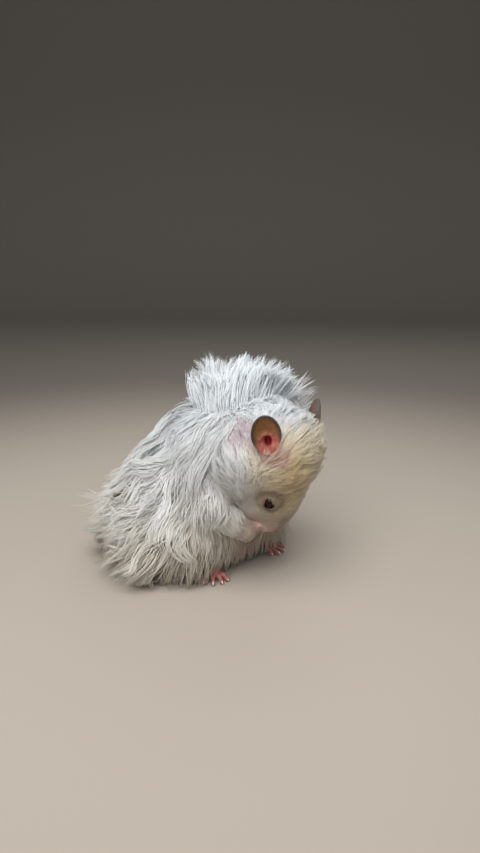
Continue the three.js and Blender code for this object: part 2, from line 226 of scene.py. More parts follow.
@dataclass(frozen=True)
class Mass:
    """A swelling of flesh: an ellipsoid."""

    at: Triple
    radii: Triple

    def field(self, p: Array, axes: Array | None = None) -> Array:
        """Its distance field."""
        return ellipsoid(p, vec(*self.at), vec(*self.radii), axes)

    def mirrored(self, side: Side) -> "Mass":
        """The same mass on a side."""
        return Mass((self.at[0] * side.value, self.at[1], self.at[2]), self.radii)

    def reach(self, p: Array) -> Array:
        """Distance from its middle, as a share of its radii."""
        return np.linalg.norm((p - vec(*self.at)) / vec(*self.radii), axis=-1)

    def blot(self, p: Array) -> Array:
        """One at its middle, fading as exp(-reach^2)."""
        return np.exp(-(((p - vec(*self.at)) / vec(*self.radii)) ** 2).sum(-1))


@dataclass(frozen=True)
class Groove:
    """A round-ended cut that may taper."""

    start: Triple
    end: Triple
    radii: tuple[float, float]

    def field(self, p: Array, side: Side) -> Array:
        """Its distance field on a side."""
        flip = vec(side.value, 1, 1)
        return rod(p, vec(*self.start) * flip, vec(*self.end) * flip, *self.radii)


@dataclass
class Head:
    """The head: its place and turn, its masses in its own axes (left, nose, crown), and its features."""

    centre: Triple = (1.5, -40.3, 49.4)
    nose_down: float = 90.0
    turn: float = 3.0
    tilt: float = 5.0
    skull: Mass = Mass((0, -1, 0.5), (14, 16, 13.5))
    bridge: Mass = Mass((0, 12, 0), (9.5, 13, 9.5))
    muzzle: Mass = Mass((0, 23.5, -3), (5.8, 7, 5.8))
    cheek: Mass = Mass((10.5, 2, -8), (9, 13, 9))
    nose_pad: Mass = Mass((0, 30.3, -2.6), (2.1, 1.5, 1.7))
    jowl: Mass = Mass((6.0, 14, -6.5), (6.5, 10, 5.5))
    whisker_pad: Mass = Mass((3.0, 26.6, -4.4), (2.9, 3.6, 2.6))
    lip_groove: Groove = Groove((0, 31.9, -3.6), (0, 30.7, -7.4), (0.28, 0.4))
    nostril: Groove = Groove((0.62, 32.1, -2.9), (1.35, 31.2, -2.2), (0.4, 0.22))
    mouth: Groove = Groove((0, 30.3, -7.4), (3.4, 27.0, -7.3), (0.34, 0.2))
    eye: Triple = (8.2, 13.6, 3.0)
    eye_radius: float = 3.0
    lid: float = 0.72
    opening: float = 1.75
    axes: Array = field(init=False)

    def __post_init__(self) -> None:
        """The head's axes: turned about X by the drop of the nose, then tilted, then turned."""
        a, b, c = (math.radians(x) for x in (self.nose_down, -self.tilt, self.turn))
        drop = np.array([[1, 0, 0], [0, math.cos(a), -math.sin(a)], [0, math.sin(a), math.cos(a)]])
        lean = np.array([[math.cos(b), 0, math.sin(b)], [0, 1, 0], [-math.sin(b), 0, math.cos(b)]])
        yaw = np.array([[math.cos(c), -math.sin(c), 0], [math.sin(c), math.cos(c), 0], [0, 0, 1]])
        whole = yaw @ lean @ drop
        self.axes = np.array([whole @ vec(1, 0, 0), whole @ vec(0, -1, 0), whole @ vec(0, 0, 1)])

    def place(self, left: float, ahead: float, above: float) -> Array:
        """A point of the head's own axes in the frame."""
        return vec(*self.centre) + vec(left, ahead, above) @ self.axes

    def way(self, left: float, ahead: float, above: float) -> Array:
        """A direction of the head's own axes in the frame, of length one."""
        return unit(vec(left, ahead, above) @ self.axes)

    def local(self, p: Array) -> Array:
        """Points of the frame in the head's own axes."""
        return (p - vec(*self.centre)) @ self.axes.T

    def plain(self, p: Array) -> Array:
        """The head's masses run together, with no features.

        Args:
            p: points, one a row.
        Returns:
            The distance field at each point.
        """
        q = self.local(p)
        return union(
            1.5,
            *(mass.field(q) for mass in (self.skull, self.bridge, self.muzzle)),
            *(mass.mirrored(side).field(q) for mass in (self.cheek, self.jowl) for side in Side),
        )

    def eye_at(self, side: Side) -> Array:
        """The middle of an eye in the head's own axes."""
        return vec(self.eye[0] * side.value, self.eye[1], self.eye[2])

    def eye_place(self, side: Side, out: float = 0.0) -> Array:
        """The middle of an eye in the frame, or a place so far out of it."""
        return self.place(*self.eye_at(side)) + self.eye_way(side) * out

    def eye_way(self, side: Side) -> Array:
        """The way an eye looks, in the frame."""
        return self.eye_axes(side)[2] @ self.axes

    def eye_axes(self, side: Side) -> Array:
        """Rows: along the eye's slit towards the nose, across it towards the crown, and out of the head.

        Args:
            side: which eye.
        Returns:
            Three unit vectors in the head's own axes.
        """
        s = side.value
        out = unit(vec(0.86 * s, 0.22, 0.42))
        along = unit(vec(0.05 * s, 1, 0.1) - out * (vec(0.05 * s, 1, 0.1) @ out))
        return np.array([along, np.cross(out, along) * s, out])

    def face(self, p: Array) -> Array:
        """The head with its whisker pads, nose, nostrils, mouth and the lids round its eyes.

        Args:
            p: points, one a row.
        Returns:
            The distance field at each point.
        """
        q = self.local(p)
        d = self.plain(p)
        d = union(0.8, d, *(self.whisker_pad.mirrored(side).field(q) for side in Side))
        d = union(0.25, d, self.nose_pad.field(q))
        cuts = [self.lip_groove.field(q, Side.LEFT)]
        cuts += [groove.field(q, side) for side in Side for groove in (self.nostril, self.mouth)]
        for cut in cuts:
            d = without(0.12, d, cut)
        for side in Side:
            d = self.with_eye(q, d, side)
        return d

    def with_eye(self, q: Array, d: Array, side: Side) -> Array:
        """The flesh with one eye's lids: a shell over the ball, opened by a rounded three-cornered slit.

        Args:
            q: points in the head's own axes.
            d: the flesh's field there.
            side: which eye.
        Returns:
            The field with the lids joined and the eye's room carved out.
        """
        e = (q - self.eye_at(side)) @ self.eye_axes(side).T
        ball = np.linalg.norm(e, axis=-1)
        lids = ball - (self.eye_radius + self.lid)
        round_ = np.arctan2(e[:, 1], e[:, 0])
        outline = self.opening * (1 + 0.16 * np.cos(3 * (round_ - math.pi)) + 0.12 * np.cos(2 * round_))
        slit = np.hypot(e[:, 0], e[:, 1]) - outline * (1 + 0.12 * np.maximum(e[:, 2] - 2, 0))
        slit = np.maximum(slit, 1.2 - e[:, 2])
        lined = union(0.5, d, lids)
        open_ = without(0.16, lined, slit)
        return without(0.06, open_, ball - (self.eye_radius - 0.02))


@dataclass
class Ear:
    """An ear: a thin shell of a bowl drawn out to an oval, with its folds, its notch and its canal."""

    head: Head
    side: Side
    root: Triple
    width: float = 10.6
    height: float = 15.6
    cup: float = 3.2
    wall: float = 0.7
    sunk: float = 0.08
    fold_radius: float = 0.6
    lobe: Mass = Mass((2.1, -0.3, -5.4), (1.5, 1.3, 2.1))
    bulb: Mass = Mass((0.4, -4.2, -4.2), (2.5, 2.2, 3.2))
    canal_mouth: Mass = Mass((0.5, -2.0, -3.0), (0.95, 1.5, 1.9))

    def __post_init__(self) -> None:
        """Its own axes: across it, out of its mouth, and up it."""
        s = self.side.value
        up = unit(vec(0.2 * s, -1, 0.05))
        out = vec(0.72 * s, 0, 0.69)
        out = unit(out - up * (out @ up))
        across = np.cross(out, up)
        self.axes = np.array([across, out, up]) @ self.head.axes
        base = self.head.place(self.root[0] * s, self.root[1], self.root[2])
        self.at = base + self.axes[2] * self.height * (0.5 - self.sunk)

    def local(self, p: Array) -> Array:
        """Points in the ear's own axes, with X pointing to the front edge on either side.

        Args:
            p: points, one a row.
        Returns:
            Across, out and up from the middle of the ear.
        """
        q = (p - self.at) @ self.axes.T
        q[:, 0] *= -self.side.value
        return q

    def shell(self, p: Array) -> Array:
        """The bowl's wall: the space between two ovals, cut off at the mouth, narrower towards its root.

        Args:
            p: points, one a row.
        Returns:
            The distance field at each point.
        """
        q = self.local(p)
        low = np.clip(-q[:, 2] / (self.height / 2), 0, 1)
        q[:, 0] /= 1 - 0.22 * low**1.5
        oval = vec(self.width / 2, self.cup, self.height / 2)
        outer = ellipsoid(q, vec(0, 0, 0), oval)
        inner = ellipsoid(q, vec(0, 0.1, 0), oval - self.wall * vec(0.85, 1, 0.85))
        inner = inner + 0.1 * waves(q, 4.0, 7)
        lip = 0.25 + 0.5 * np.cos(q[:, 2] / self.height * math.pi) * 0.4
        wall = without(0.1, without(0.1, outer, inner), lip - q[:, 1])
        turn = np.linspace(-2.2, 1.3, 6)
        bend, rise = 2.5 * np.sin(turn), -2.6 + 2.9 * np.cos(turn)
        line = np.stack([-bend, -1.35 - 0.12 * np.abs(bend), rise], -1)
        fold = [rod(q, a, b, self.fold_radius, self.fold_radius) for a, b in zip(line[:-1], line[1:])]
        return union(0.35, union(0.3, wall, *fold), self.lobe.field(q), self.bulb.field(q))

    def canal(self, p: Array) -> Array:
        """The opening that leads into the head, low in the bowl."""
        return self.canal_mouth.field(self.local(p))

    def room(self, p: Array, clear: float = 0.0, cut: float = 0.0) -> Array:
        """A smooth oval that holds the whole ear but for a cut off its foot, which hair may cross."""
        oval = vec(self.width / 2, 3.4, self.height / 2 - cut / 2) + clear
        return ellipsoid((p - self.at) @ self.axes.T, vec(0, -0.6, cut / 2), oval)


@dataclass
class Limbs:
    """Arms, forepaws, thighs, hind feet and tail."""

    head: Head
    shoulder: Triple = (15, -18, 40)
    elbow: Triple = (16.5, -25, 32)
    wrists: dict[Side, Triple] = field(
        default_factory=lambda: {Side.RIGHT: (-7.8, -33.2, 21.2), Side.LEFT: (12.2, -32.8, 22.0)}
    )
    toes: dict[Side, Triple] = field(
        default_factory=lambda: {Side.RIGHT: (-19.5, -28, 0), Side.LEFT: (22.5, -28.5, 0)}
    )
    splay: dict[Side, float] = field(default_factory=lambda: {Side.RIGHT: 44.0, Side.LEFT: 22.0})
    toe_lengths: tuple[float, ...] = (5.6, 7.4, 8.0, 7.4, 5.6)
    toe_fan: float = 19.0
    sole: float = 9.0
    sole_radius: float = 3.0
    tail_root: Triple = (0, 20, 11)
    tail_tip: Triple = (0, 39.5, 6.5)
    tail_radii: Triple = (2.3, 1.7, 0.95)
    forearm_radii: tuple[float, float] = (5.6, 3.7)
    palm_radii: tuple[float, float] = (3.0, 2.7)
    palm_length: float = 3.6
    palm_aim: Triple = (3.5, 26.5, -6)
    finger_length: float = 4.8
    finger_spacing: float = 1.4
    toe_spacing: float = 1.25
    finger_radius: float = 0.9
    toe_radius: float = 0.95

    def mirror(self, p: Triple, side: Side) -> Array:
        """A point given for the left side, on either side."""
        return vec(p[0] * side.value, p[1], p[2])

    def forearm(self, p: Array, side: Side) -> Array:
        """A rod from the elbow to the wrist."""
        return rod(p, self.mirror(self.elbow, side), vec(*self.wrists[side]), *self.forearm_radii)

    def wrist(self, side: Side) -> tuple[Array, Array]:
        """A wrist, and the direction from it to the muzzle."""
        at = vec(*self.wrists[side])
        return at, unit(self.head.place(self.palm_aim[0] * side.value, *self.palm_aim[1:]) - at)

    def ball(self, side: Side) -> tuple[float, Array, Array]:
        """A hind foot's turn, its direction, and the ball of the foot on the floor.

        Args:
            side: which foot.
        Returns:
            Radians about Z, a unit vector, and a place.
        """
        turn = math.radians(self.splay[side]) * side.value
        ahead = vec(math.sin(turn), -math.cos(turn), 0)
        return turn, ahead, vec(*self.toes[side]) - ahead * self.toe_lengths[2]

    def digits(self, side: Side) -> list[Chain]:
        """The four fingers: root, knuckle, base of the nail, tip of the nail, and radius.

        Args:
            side: which paw.
        Returns:
            One chain a finger.
        """
        wrist, way = self.wrist(side)
        across = unit(np.cross(way, vec(0, 0, 1)))
        palm = wrist + way * self.palm_length
        made = []
        for i in range(4):
            spread = (i - 1.5) * self.finger_spacing
            root = palm + across * spread
            reach = self.finger_length - abs(i - 1.4) * 0.6
            tip = root + way * reach + across * spread * 0.2
            knuckle = mix(root, tip, 0.42) + vec(0, 0, 0.4)
            nail = mix(root, tip, 0.8) + vec(0, 0, 0.1)
            made.append((root, knuckle, nail, tip, self.finger_radius))
        return made

    def toe_chain(self, side: Side) -> list[Chain]:
        """The five toes: root, knuckle, base of the nail, tip of the nail, and radius.

        Args:
            side: which foot.
        Returns:
            One chain a toe.
        """
        turn, _, ball = self.ball(side)
        aside = vec(math.cos(turn), math.sin(turn), 0)
        made = []
        for i, length in enumerate(self.toe_lengths):
            fan = turn + math.radians((i - 2) * self.toe_fan)
            way = vec(math.sin(fan), -math.cos(fan), 0)
            root = ball + aside * (i - 2) * self.toe_spacing + way * 0.2 + vec(0, 0, 1.7)
            tip = root + way * length
            knuckle = mix(root, tip, 0.42) + vec(0, 0, 0.35)
            nail = mix(root, tip, 0.8)
            nail[2] = 1.0
            tip[2] = 0.45
            made.append((root, knuckle, nail, tip, self.toe_radius))
        return made

    def paw(self, p: Array, side: Side) -> Array:
        """A palm and four fingers with pads.

        Args:
            p: points, one a row.
            side: which paw.
        Returns:
            The distance field at each point.
        """
        wrist, way = self.wrist(side)

        def shape(q: Array) -> Array:
            """The palm's rod joined softly with the fingers."""
            palm = rod(q, wrist, wrist + way * self.palm_length, *self.palm_radii)
            return union(0.3, palm, *(self.digit(q, chain) for chain in self.digits(side)))

        return near(p, wrist + way * 3.4, 9.5, shape)

    def digit(self, q: Array, chain: Chain) -> Array:
        """Two tapering rods that meet over the knuckle, and a round pad under the nail.

        Args:
            q: points.
            chain: the digit.
        Returns:
            The distance field at each point.
        """
        root, knuckle, nail, _, radius = chain
        first = rod(q, root, knuckle, radius, radius * 0.86)
        second = rod(q, knuckle, nail, radius * 0.86, radius * 0.74)
        pad = np.linalg.norm(q - (nail - vec(0, 0, 0.12)), axis=-1) - radius * 0.86
        return union(0.12, first, second, pad)

    def foot(self, p: Array, side: Side) -> Array:
        """A sole from the heel to the ball, and five spread toes, flat where they meet the floor.

        Args:
            p: points, one a row.
            side: which foot.
        Returns:
            The distance field at each point.
        """
        _, ahead, ball = self.ball(side)
        ball = ball + vec(0, 0, 2.2)
        heel = ball - ahead * self.sole

        def shape(q: Array) -> Array:
            """The sole's rod joined softly with the toes, cut off at the floor.

            Args:
                q: points.
            Returns:
                The distance field at each point.
            """
            sole = rod(q, heel, ball, self.sole_radius, self.sole_radius * 0.82)
            toes = (self.digit(q, chain) for chain in self.toe_chain(side))
            return without(0.08, union(0.35, sole, *toes), q[:, 2] - 0.02)

        return near(p, mix(heel, ball, 0.7), 16.0, shape)

    def tail(self, p: Array) -> Array:
        """A short bent cone.

        Args:
            p: points, one a row.
        Returns:
            The distance field at each point.
        """
        root, tip = vec(*self.tail_root), vec(*self.tail_tip)
        bend = mix(root, tip, 0.5)
        bend[2] = root[2]
        return union(0.8, rod(p, root, bend, *self.tail_radii[:2]), rod(p, bend, tip, *self.tail_radii[1:]))


@dataclass
class Flesh:
    """The whole body under its coat."""

    head: Head = field(default_factory=Head)
    haunches: Mass = Mass((0, 5, 23), (28, 22, 24))
    barrel: Mass = Mass((0, -3, 37), (24.5, 20, 21))
    shoulders: Mass = Mass((0, -15, 48), (20, 17, 16))
    belly: Mass = Mass((0, -12, 25), (20, 17, 20))
    thigh: Mass = Mass((19, -8, 14), (11, 16, 14))
    nape: Triple = (0, -16, 50)
    nape_radii: tuple[float, float] = (15, 12)
    upper_arm_radii: tuple[float, float] = (8.5, 6)
    floor_clear: float = 0.8

    def __post_init__(self) -> None:
        """The ears and the limbs stand on the head's and the body's own places."""
        self.limbs = Limbs(self.head)
        self.ears = {
            Side.RIGHT: Ear(self.head, Side.RIGHT, (12.8, -7.4, 7)),
            Side.LEFT: Ear(self.head, Side.LEFT, (13.8, -5.2, 7.4)),
        }

    def trunk(self, p: Array) -> Array:
        """Haunches, barrel, shoulders, belly, nape, thighs and upper arms, run softly together.

        Args:
            p: points, one a row.
        Returns:
            The distance field at each point.
        """
        mirror = self.limbs.mirror
        shoulder, elbow = self.limbs.shoulder, self.limbs.elbow
        return union(
            2.5,
            *(mass.field(p) for mass in (self.haunches, self.barrel, self.shoulders, self.belly)),
            rod(p, vec(*self.nape), self.head.place(0, -6, -5), *self.nape_radii),
            *(self.thigh.mirrored(side).field(p) for side in Side),
            *(rod(p, mirror(shoulder, side), mirror(elbow, side), *self.upper_arm_radii) for side in Side),
        )

    def masses(self, p: Array) -> Array:
        """Trunk, head and forearms as one smooth form, which the long hair lies over.

        Args:
            p: points, one a row.
        Returns:
            The distance field at each point.
        """
        arms = [self.limbs.forearm(p, side) for side in Side]
        head = self.head
        q = head.local(p)
        q[:, 0] = np.abs(q[:, 0])
        eyes = np.linalg.norm(q - vec(*head.eye), axis=-1) - (head.eye_radius + 0.3)
        return union(0.8, self.trunk(p), head.plain(p), eyes, *arms)

    def zones(self, p: Array) -> Array:
        """Each zone's own field, one column a zone in the order of Zone.

        Args:
            p: points, one a row.
        Returns:
            One row a point and one column a zone.
        """
        limbs = self.limbs
        trunk = np.maximum(self.trunk(p), self.floor_clear - p[:, 2])
        forearm, paw, foot = (
            np.minimum(*(shape(p, side) for side in Side)) for shape in (limbs.forearm, limbs.paw, limbs.foot)
        )
        ear = np.minimum(*(self.ears[side].room(p, -0.1) for side in Side))
        nose = self.head.nose_pad.field(self.head.local(p)) - 0.1
        return np.stack([trunk, self.head.plain(p), forearm, paw, foot, limbs.tail(p), ear, nose], -1)

    def skin(self, p: Array) -> Array:
        """The whole skin: trunk, face, limbs, tail and ears joined softly, with no seam.

        Args:
            p: points, one a row.
        Returns:
            The distance field at each point.
        """
        limbs = self.limbs
        trunk = without(0.4, self.trunk(p), p[:, 2] - self.floor_clear)
        body = union(1.0, trunk, self.head.face(p))
        body = union(0.6, body, *(limbs.forearm(p, side) for side in Side))
        body = union(0.5, body, limbs.tail(p))
        for limb in (limbs.paw, limbs.foot):
            body = union(0.35, body, *(limb(p, side) for side in Side))
        for ear in self.ears.values():
            body = union(0.45, body, near(p, ear.at, 12.0, ear.shell))
            body = without(0.3, body, near(p, ear.at, 12.0, ear.canal))
        return body


# ------------------------------------------------------------------ colours


@dataclass(frozen=True)
class Markings:
    """The colours that skin and coat share, written as sRGB and given by place as linear light; some of them
    are painted light and shade.
    """

    head: Head
    white: Colour = (240, 241, 240)
    cream: Colour = (232, 213, 176)
    yellow: Colour = (230, 194, 124)
    # Partly the muzzle's own pinkish beige, partly painted shade under the lowered head.
    snout: Colour = (190, 166, 148)
    # Painted shade with warm light bounced from the floor, for the low chest and belly.
    belly: Colour = (216, 200, 182)
    # Painted shade and bounce light: the lower coat is laid warmer and darker.
    warm_low_shade: Colour = (228, 220, 202)
    # Painted shade for the coat near the floor.
    hem: Colour = (156, 141, 116)
    pink: Colour = (168, 106, 100)
    palm: Colour = (214, 176, 166)
    # Pinkish skin showing through, with painted shade in the hollow behind each ear.
    mauve: Colour = (190, 162, 168)
    tan: Colour = (228, 198, 146)
    # Painted shade: the fur round each eye is darkened like the shadow of its socket.
    orbit_shade: Colour = (154, 128, 100)
    # Pink skin in front of each ear, with painted shade on the forehead there.
    blush_and_shade: Colour = (196, 142, 134)
    # Painted light: a cool bluish white for the top of the coat, where the overhead light falls.
    cool_top_light: Colour = (232, 239, 244)
    rim: Colour = (84, 76, 72)
    bowl: Colour = (148, 104, 66)
    concha: Colour = (180, 104, 92)
    canal: Colour = (138, 34, 38)
    # Dark lid rims, with painted shade on the skin round each eye.
    lid: Colour = (96, 74, 62)
    yellow_at: Mass = Mass((-8.5, 2.5, 10.5), (4.5, 5.0, 5))
    tan_at: Mass = Mass((-4.5, 10.5, 8.5), (6.0, 7.0, 6))
    mauve_at: Mass = Mass((14.2, -8.5, -2.0), (6, 5.0, 8.5))
    blush_and_shade_at: Mass = Mass((12.2, -3.0, 7.5), (4.4, 3.8, 5))
    ear_foot: Mass = Mass((0.5, -1.0, -8.5), (6.5, 5, 4.0))
    ear_canal: Mass = Mass((0.5, -3.4, -3.2), (1.9, 2.6, 2.6))
    ear_bowl: Mass = Mass((0, 0.1, 0), (5.2, 2.8, 7.6))

    def laid(self, colour: Array, over: Colour, share: Array) -> Array:
        """A colour with another one laid over it by a share at each point."""
        return mix(colour, linear(*over), share[:, None])

    def fur(self, p: Array) -> Array:
        """Colour of the hair that grows at each point: white, with a cream face, a cool painted light on top,
        and painted shade that makes the lower coat warmer and darker and the belly duller.

        Args:
            p: points, one a row.
        Returns:
            One colour a point.
        """
        q = self.head.local(p)
        colour = np.broadcast_to(linear(*self.white), p.shape).copy()
        # Painted shade and bounce light: warmer and darker from mid height down to the floor.
        colour = self.laid(colour, self.warm_low_shade, 1 - step(10, 56, p[:, 2]))
        # Painted light: the top of the coat is laid a cooler bluish white, as if lit from above.
        colour = self.laid(colour, self.cool_top_light, step(56, 68, p[:, 2]))
        # Painted shade with warm bounce light: the low front of chest and belly is laid a duller beige.
        low = (1 - step(4, 26, p[:, 2])) * (1 - step(-34, -14, p[:, 1]))
        colour = self.laid(colour, self.belly, 0.8 * low)
        # Painted shade: the coat is darkened towards the floor, most at the hem.
        colour = self.laid(colour, self.hem, 0.85 * (1 - step(1, 26, p[:, 2])))
        on_head = step(-16, -6, q[:, 1]) * (1 - step(15, 24, np.linalg.norm(q * vec(1, 0, 1), axis=-1)))
        brow = on_head * step(-4, 6, q[:, 2] + 0.12 * q[:, 1] + 1.5 * waves(p, 11, 5))
        colour = self.laid(colour, self.cream, 0.9 * brow)
        colour = self.laid(colour, self.yellow, 0.85 * (on_head * self.yellow_at.blot(q)))
        colour = self.laid(colour, self.tan, 0.85 * (on_head * self.tan_at.blot(q)))
        # The muzzle's own pinkish beige, with painted shade under the lowered head.
        colour = self.laid(colour, self.snout, 0.8 * (on_head * step(15, 26, q[:, 1])))
        for side in Side:
            # Pinkish skin showing through, with painted shade in the hollow behind each ear.
            away = self.mauve_at.mirrored(side).reach(q)
            colour = self.laid(colour, self.mauve, 0.85 * (1 - step(0.4, 1.3, away)))
            # Pink skin in front of each ear, with painted shade on the forehead there.
            away = self.blush_and_shade_at.mirrored(side).reach(q)
            colour = self.laid(colour, self.blush_and_shade, 0.7 * (1 - step(0.4, 1.3, away)))
            # Painted shade: the fur round each eye is darkened like the shadow of its socket.
            away = np.linalg.norm(q - self.head.eye_at(side), axis=-1)
            colour = self.laid(colour, self.orbit_shade, 0.8 * (1 - step(3.0, 6.5, away)))
        return colour

    def bare(self, p: Array, zone: Array, ears: dict[Side, Ear]) -> Array:
        """Colour of the skin: the coat's own under it, and bare colours on feet, tail, nose and ears, with
        dark lids and painted shade round the eyes.

        Args:
            p: points on the skin.
            zone: the Zone value at each point.
            ears: the two ears by side.
        Returns:
            One colour a point.
        """
        colour = mix(self.fur(p), linear(*self.pink), 0.12)
        for place in (Zone.PAW, Zone.FOOT, Zone.TAIL, Zone.NOSE):
            here = (zone == place.value)[:, None]
            bare = self.palm if place is Zone.PAW else self.pink
            colour = np.where(here, linear(*bare), colour)
        for ear in ears.values():
            colour = self.on_ear(colour, p, ear)
        # Dark lid rims, and painted shade spread over the skin up to 5 mm round each eye.
        for side in Side:
            e = (self.head.local(p) - self.head.eye_at(side)) @ self.head.eye_axes(side).T
            margin = (1 - step(2.2, 5.0, np.hypot(e[:, 0], e[:, 1]))) * (e[:, 2] > 0)
            colour = self.laid(colour, self.lid, 0.9 * margin)
        return colour

    def on_ear(self, colour: Array, p: Array, ear: Ear) -> Array:
        """Lays one ear's colours over others: a dark rim, a tan bowl, a pink concha and a red canal, with
        pinkish skin and painted shade at its foot.

        Args:
            colour: the colours so far, one a point.
            p: points, one a row.
            ear: which ear.
        Returns:
            One colour a point.
        """
        q = ear.local(p)
        inside = np.hypot(q[:, 0] / (ear.width / 2), q[:, 2] / (ear.height / 2))
        here = (1 - step(0.1, 1.0, ear.room(p, 0.25))) * step(-8.6, -6.0, q[:, 2])
        edge = step(0.6, 0.97, inside + 0.08 * waves(q, 5.0, 9))
        ear_colour = self.laid(linear(*self.bowl), self.rim, edge)
        ear_colour = self.laid(ear_colour, self.rim, step(0.15, 0.5, self.ear_bowl.field(q)))
        pinkish = 1 - step(0.7, 1.15, np.hypot((q[:, 0] - 0.6) / 4.6, (q[:, 2] + 4.6) / 5.2))
        ear_colour = self.laid(ear_colour, self.concha, pinkish)
        ear_colour = self.laid(ear_colour, self.canal, 1 - step(0.7, 1.3, self.ear_canal.reach(q)))
        # Pinkish skin with painted shade in the notch at the ear's foot.
        colour = self.laid(colour, self.mauve, 0.9 * self.ear_foot.blot(q))
        return mix(colour, ear_colour, here[:, None])


# ------------------------------------------------------------------ meshes


def build_mesh(
    name: str,
    points: Array,
    faces: Array,
    tint: Array | None = None,
    normals: Array | None = None,
    bake: Array | None = None,
) -> bpy.types.Object:
    """A smooth-shaded object from arrays.

    Args:
        name: the object's name.
        points: places in millimetres, one a row.
        faces: vertex numbers, one face a row, padded with -1 where a row holds a triangle among quads.
        tint: linear colours, one a point.
        normals: shading normals, one a point.
        bake: places on the OFBake map, one a point.
    Returns:
        The object, linked to the scene.
    """
    mesh = bpy.data.meshes.new(name)
    sizes = (faces >= 0).sum(1).astype(np.int32)
    loops = faces[faces >= 0].astype(np.int32)
    mesh.vertices.add(len(points))
    mesh.vertices.foreach_set("co", (points * MM).astype(np.float32).ravel())
    mesh.loops.add(len(loops))
    mesh.loops.foreach_set("vertex_index", loops)
    mesh.polygons.add(len(faces))
    starts = np.concatenate([[0], np.cumsum(sizes)[:-1]]).astype(np.int32)
    mesh.polygons.foreach_set("loop_start", starts)
    mesh.polygons.foreach_set("use_smooth", np.ones(len(faces), bool))
    if bake is not None:
        layer = mesh.uv_layers.new(name="OFBake")
        layer.data.foreach_set("uv", bake[loops].astype(np.float32).ravel())
    if tint is not None:
        colours = np.ones((len(points), 4), np.float32)
        colours[:, :3] = np.clip(tint, 0, 1)
        layer = mesh.color_attributes.new("tint", "FLOAT_COLOR", "POINT")
        layer.data.foreach_set("color", colours.ravel())
    mesh.update(calc_edges=True)
    if normals is not None:
        mesh.normals_split_custom_set_from_vertices(normals.astype(np.float32))
    thing = bpy.data.objects.new(name, mesh)
    bpy.context.scene.collection.objects.link(thing)
    return thing


def lattice(shape: Field, low: Array, high: Array, cell: float, block: int = 4) -> Array:
    """A field's values on a lattice, worked out first on a coarse one and then only near the surface.

    Whole blocks further off are taken as inside or outside.

    Args:
        shape: the field.
        low: lowest corner of the lattice.
        high: highest corner.
        cell: size of a cell.
        block: cells along a side of a coarse block.
    Returns:
        Values by the lattice's three numbers.
    """
    counts = np.ceil((high - low) / (cell * block)).astype(int) + 1
    ticks = (low[i] + np.arange(counts[i]) * cell * block for i in range(3))
    coarse = np.stack(np.meshgrid(*ticks, indexing="ij"), -1)
    depth = shape(coarse.reshape(-1, 3)).reshape(counts)
    close = np.abs(depth) < cell * block * 1.3
    active = np.zeros(counts - 1, bool)
    for i in np.ndindex(2, 2, 2):
        active |= close[tuple(slice(a, a + n) for a, n in zip(i, counts - 1))]
    fine = (counts - 1) * block + 1
    wanted = np.zeros(fine, bool)
    wanted[:-1, :-1, :-1] = active.repeat(block, 0).repeat(block, 1).repeat(block, 2)
    for axis in range(3):
        ahead, behind = [slice(None)] * 3, [slice(None)] * 3
        ahead[axis], behind[axis] = slice(1, None), slice(None, -1)
        wanted[tuple(ahead)] |= wanted[tuple(behind)].copy()
    values = np.full(fine, 9.0, np.float32)
    buried = (depth[:-1, :-1, :-1] < 0).repeat(block, 0).repeat(block, 1).repeat(block, 2)
    values[:-1, :-1, :-1][buried] = -9.0
    values[wanted] = shape(low + np.argwhere(wanted) * cell)
    return values


def net_points(values: Array) -> tuple[Array, Array]:
    """One point in each cell that the surface crosses: the mean of the crossings of the cell's edges.

    Args:
        values: the field on a lattice.
    Returns:
        Points in cells, and each cell's point number, or -1 where it has none.
    """
    inside = values < 0
    corners = np.array(list(np.ndindex(2, 2, 2)))
    cells = np.array(values.shape) - 1
    count = np.zeros(cells, np.int8)
    for c in corners:
        count += inside[tuple(slice(a, a + n) for a, n in zip(c, cells))]
    crossed = np.argwhere((count > 0) & (count < 8))
    number = np.full(cells, -1, np.int64)
    number[tuple(crossed.T)] = np.arange(len(crossed))
    total, crossings = np.zeros((len(crossed), 3)), np.zeros((len(crossed), 1))
    for a in corners:
        for axis in range(3):
            if a[axis]:
                continue
            b = a.copy()
            b[axis] = 1
            fa, fb = values[tuple((crossed + a).T)], values[tuple((crossed + b).T)]
            cut = ((fa < 0) != (fb < 0))[:, None]
            t = (fa / np.where(fa == fb, 1, fa - fb))[:, None]
            total += np.where(cut, a + (b - a) * t, 0)
            crossings += cut
    return crossed + total / crossings, number


def net_quads(inside: Array, number: Array) -> Array:
    """One quad, facing outwards, for each edge of a lattice that the surface crosses.

    Args:
        inside: true at the lattice's places inside the surface.
        number: each cell's point number.
    Returns:
        Point numbers, one quad a row.
    """
    quads = []
    for axis in range(3):
        u, v = (axis + 1) % 3, (axis + 2) % 3
        first, last = [slice(1, -1)] * 3, [slice(1, -1)] * 3
        first[axis], last[axis] = slice(0, -1), slice(1, None)
        a, b = inside[tuple(first)], inside[tuple(last)]
        for out, one, other in ((1, a, b), (-1, b, a)):
            edge = np.argwhere(one & ~other)
            edge[:, [u, v]] += 1
            ring = []
            for du, dv in ((-1, -1), (0, -1), (0, 0), (-1, 0))[::out]:
                c = edge.copy()
                c[:, u] += du
                c[:, v] += dv
                ring.append(number[tuple(c.T)])
            quads.append(np.stack(ring, -1))
    return np.concatenate(quads)


